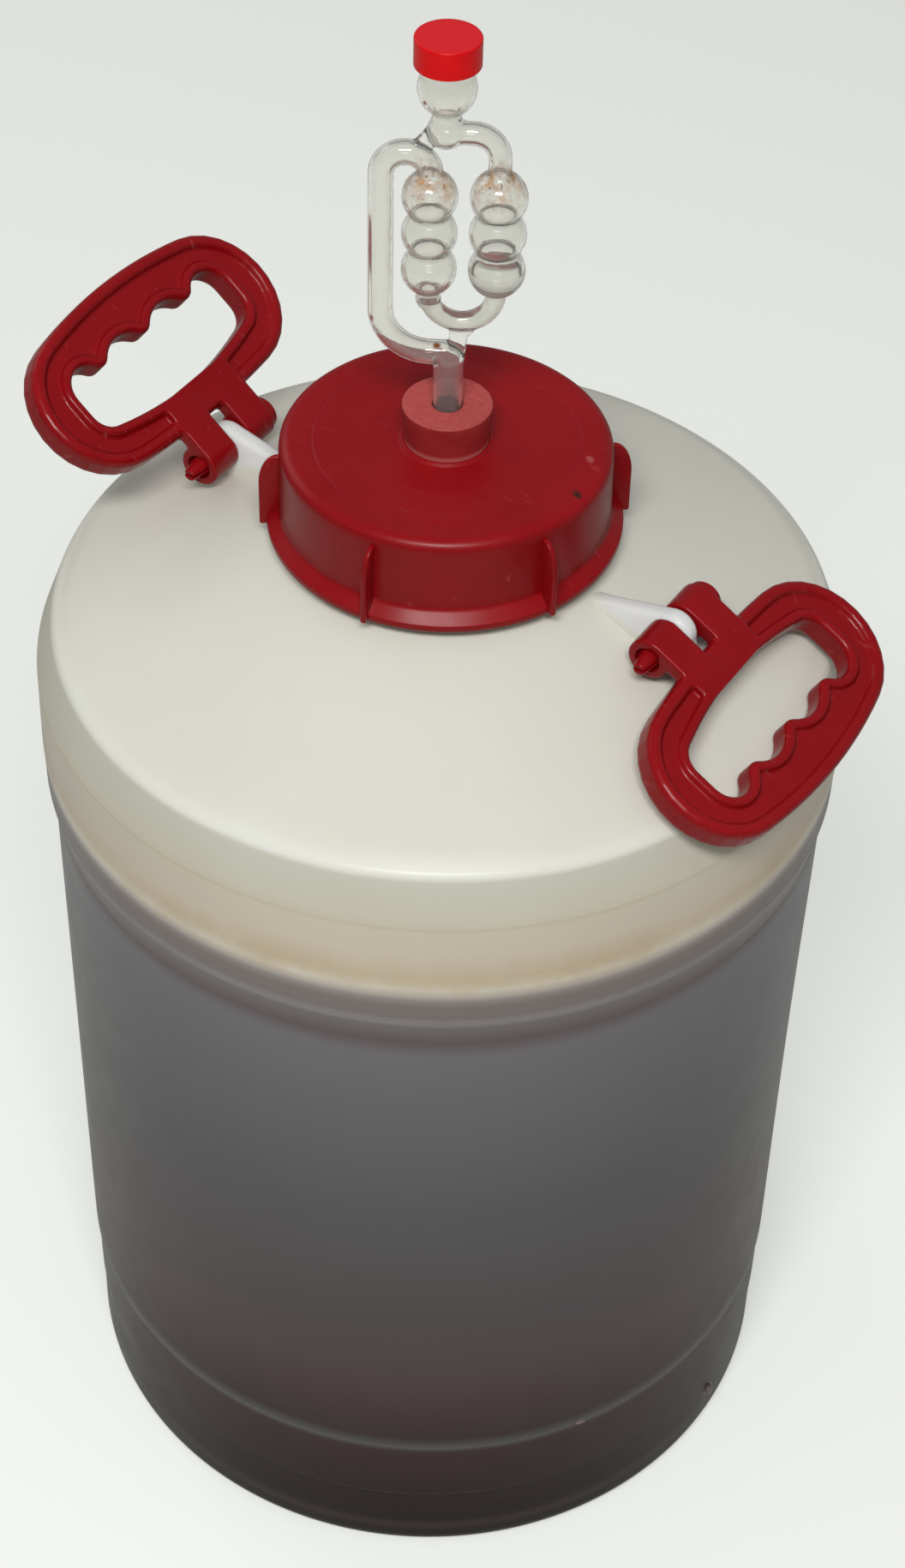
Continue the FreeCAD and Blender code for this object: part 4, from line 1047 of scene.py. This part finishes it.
def around(loop, middle, angles):
    """The loop's points read again at even angles about a middle point."""
    out = loop - middle
    angle = np.arctan2(out[:, 1], out[:, 0])
    order = np.argsort(angle)
    radius = np.hypot(out[:, 0], out[:, 1])[order]
    read = np.interp(angles, angle[order], radius, period=2 * math.pi)
    return middle + np.stack([np.cos(angles), np.sin(angles)], axis=1) * read[:, None]


def handle_parts():
    """Both beads, the web between them and the two arms, in the handle's own s, t, h."""
    outer, hole = handle_outline(), hole_outline()
    low, high = HANDLE_LOW + WEB_RECESS, HANDLE_HIGH - WEB_RECESS
    middle = np.array([43.0, 0.0]) * MM
    angles = np.linspace(-math.pi, math.pi, HANDLE_COLUMNS, endpoint=False)
    out = around(belt(outer, -OUTER_BEAD / 2), middle, angles)
    inside = around(belt(hole, INNER_BEAD / 2), middle, angles)
    rings = [np.insert(edge, 2, h, axis=1) for edge, h in
             ((out, low), (out, high), (inside, high), (inside, low), (out, low))]
    # Level pad between the arms, out to the hole's bead
    pad = np.array([(PAD_START, -ARM_OUTER), (PAD_END, -ARM_OUTER), (PAD_END, ARM_OUTER),
                    (PAD_START, ARM_OUTER)])
    pad_rings = np.array([np.insert(pad, 2, h, axis=1) for h in (HANDLE_LOW, HANDLE_HIGH)])
    parts = [bead("outer_bead", outer, OUTER_BEAD, 1), bead("inner_bead", hole, INNER_BEAD, -1),
             skin("web", np.array(rings)), skin("pad", pad_rings, caps=True)]
    # Each arm is a strap that ends in a boss
    boss = round_line(BOSS_RADIUS, np.linspace(math.pi / 2, 3 * math.pi / 2, 24))
    front = round_line(BOSS_RADIUS, np.linspace(-math.pi / 2, 0, 10))
    inner = BOSS_RADIUS - STRAP
    line = np.vstack([boss, front, [(BOSS_RADIUS, inner), (STRAP_END, inner), (STRAP_END, BOSS_RADIUS)]])
    for side in (1, -1):
        rings = [np.insert(line, 1, side * t, axis=1) for t in np.linspace(ARM_INNER, ARM_OUTER, 3)]
        parts.append(skin("arm", np.array(rings), caps=True))
    return parts


def seat_handle(piece, side):
    """Puts a piece made in s, t, h on its pin: tilted about the pin, then turned for the left side."""
    tilt = Matrix.Rotation(math.radians(-TILTS[side]), 4, "Y")
    spot = Matrix.Translation((PIN_REACH, 0, PIN_HEIGHT))
    half_turn = Matrix.Rotation(math.pi if side == "left" else 0.0, 4, "Z")
    piece.data.transform(half_turn @ spot @ tilt)


def drum(radius, low, high):
    """A cylinder along the pin, only used to cut with."""
    circle = round_line(radius, np.linspace(0, 2 * math.pi, 48, endpoint=False))
    return skin("drum", np.array([np.insert(circle, 1, t, axis=1) for t in (low, high)]), caps=True)


handle_finish = red_plastic("handle_plastic", 0.32, 0.18)
for side in TILTS:
    handle = melted("carrying_handle_" + side, handle_parts(), HANDLE_VOXEL, HANDLE_SMOOTHING)
    recess = ARM_OUTER - RECESS_DEPTH
    cut_or_join(handle, [drum(PIN_HOLE, -0.03, 0.03), drum(PIN_RECESS, recess, 0.03),
                         drum(PIN_RECESS, -0.03, -recess)], "DIFFERENCE")
    seat_handle(handle, side)
    dress(handle, handle_finish)
    sharp_above(handle, 50)
    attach(handle, "handle_" + side)
    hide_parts("handle_" + side)

# The snap pins: each is pushed through both arms and the ear, with a round flat head on the far
# side and a split, barbed end in the arm's recess on the near side.

HEAD_RADIUS = 7 * MM
HEAD_THICK = 3.6 * MM
PIN_RADIUS = 3.44 * MM
BARB_RADIUS = 4.3 * MM
TIP_RADIUS = 2.4 * MM
PIN_TIP = -ARM_OUTER - 6.5 * MM
# The split that lets the barbed end spring in
SLOT_CORNERS = np.array([(-9, -0.8), (9, -0.8), (9, 0.8), (-9, 0.8)]) * MM
SLOT_FROM = -30 * MM
SLOT_TO = -15.65 * MM


def pin_surface():
    """The pin's radius along its axis, turned about it: head, shank, barb and tip."""
    head = ARM_OUTER + HEAD_THICK
    barb = RECESS_DEPTH - ARM_OUTER
    section = [(0, head, 0), (HEAD_RADIUS, head, 1.2 * MM), (HEAD_RADIUS, ARM_OUTER, 0.4 * MM),
               (PIN_RADIUS, ARM_OUTER, 0), (PIN_RADIUS, barb, 0), (BARB_RADIUS, barb, 0.4 * MM),
               (TIP_RADIUS, PIN_TIP, 0.8 * MM), (0, PIN_TIP, 0)]
    return turned(resampled(rounded(section, 6), 2 * MM), 64)[..., [0, 2, 1]]


for side in TILTS:
    pin = skin("snap_pin_" + side, pin_surface(), finish=handle_finish)
    slot = np.array([np.insert(SLOT_CORNERS, 1, y, axis=1) for y in (SLOT_FROM, SLOT_TO)])
    cut_or_join(pin, [skin("slot", slot, caps=True)], "DIFFERENCE")
    reach = PIN_REACH if side == "right" else -PIN_REACH
    pin.data.transform(Matrix.Translation((reach, 0, PIN_HEIGHT)))
    sharp_above(pin, 40)
    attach(pin, "handle_" + side)
    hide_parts("handle_pin_" + side)
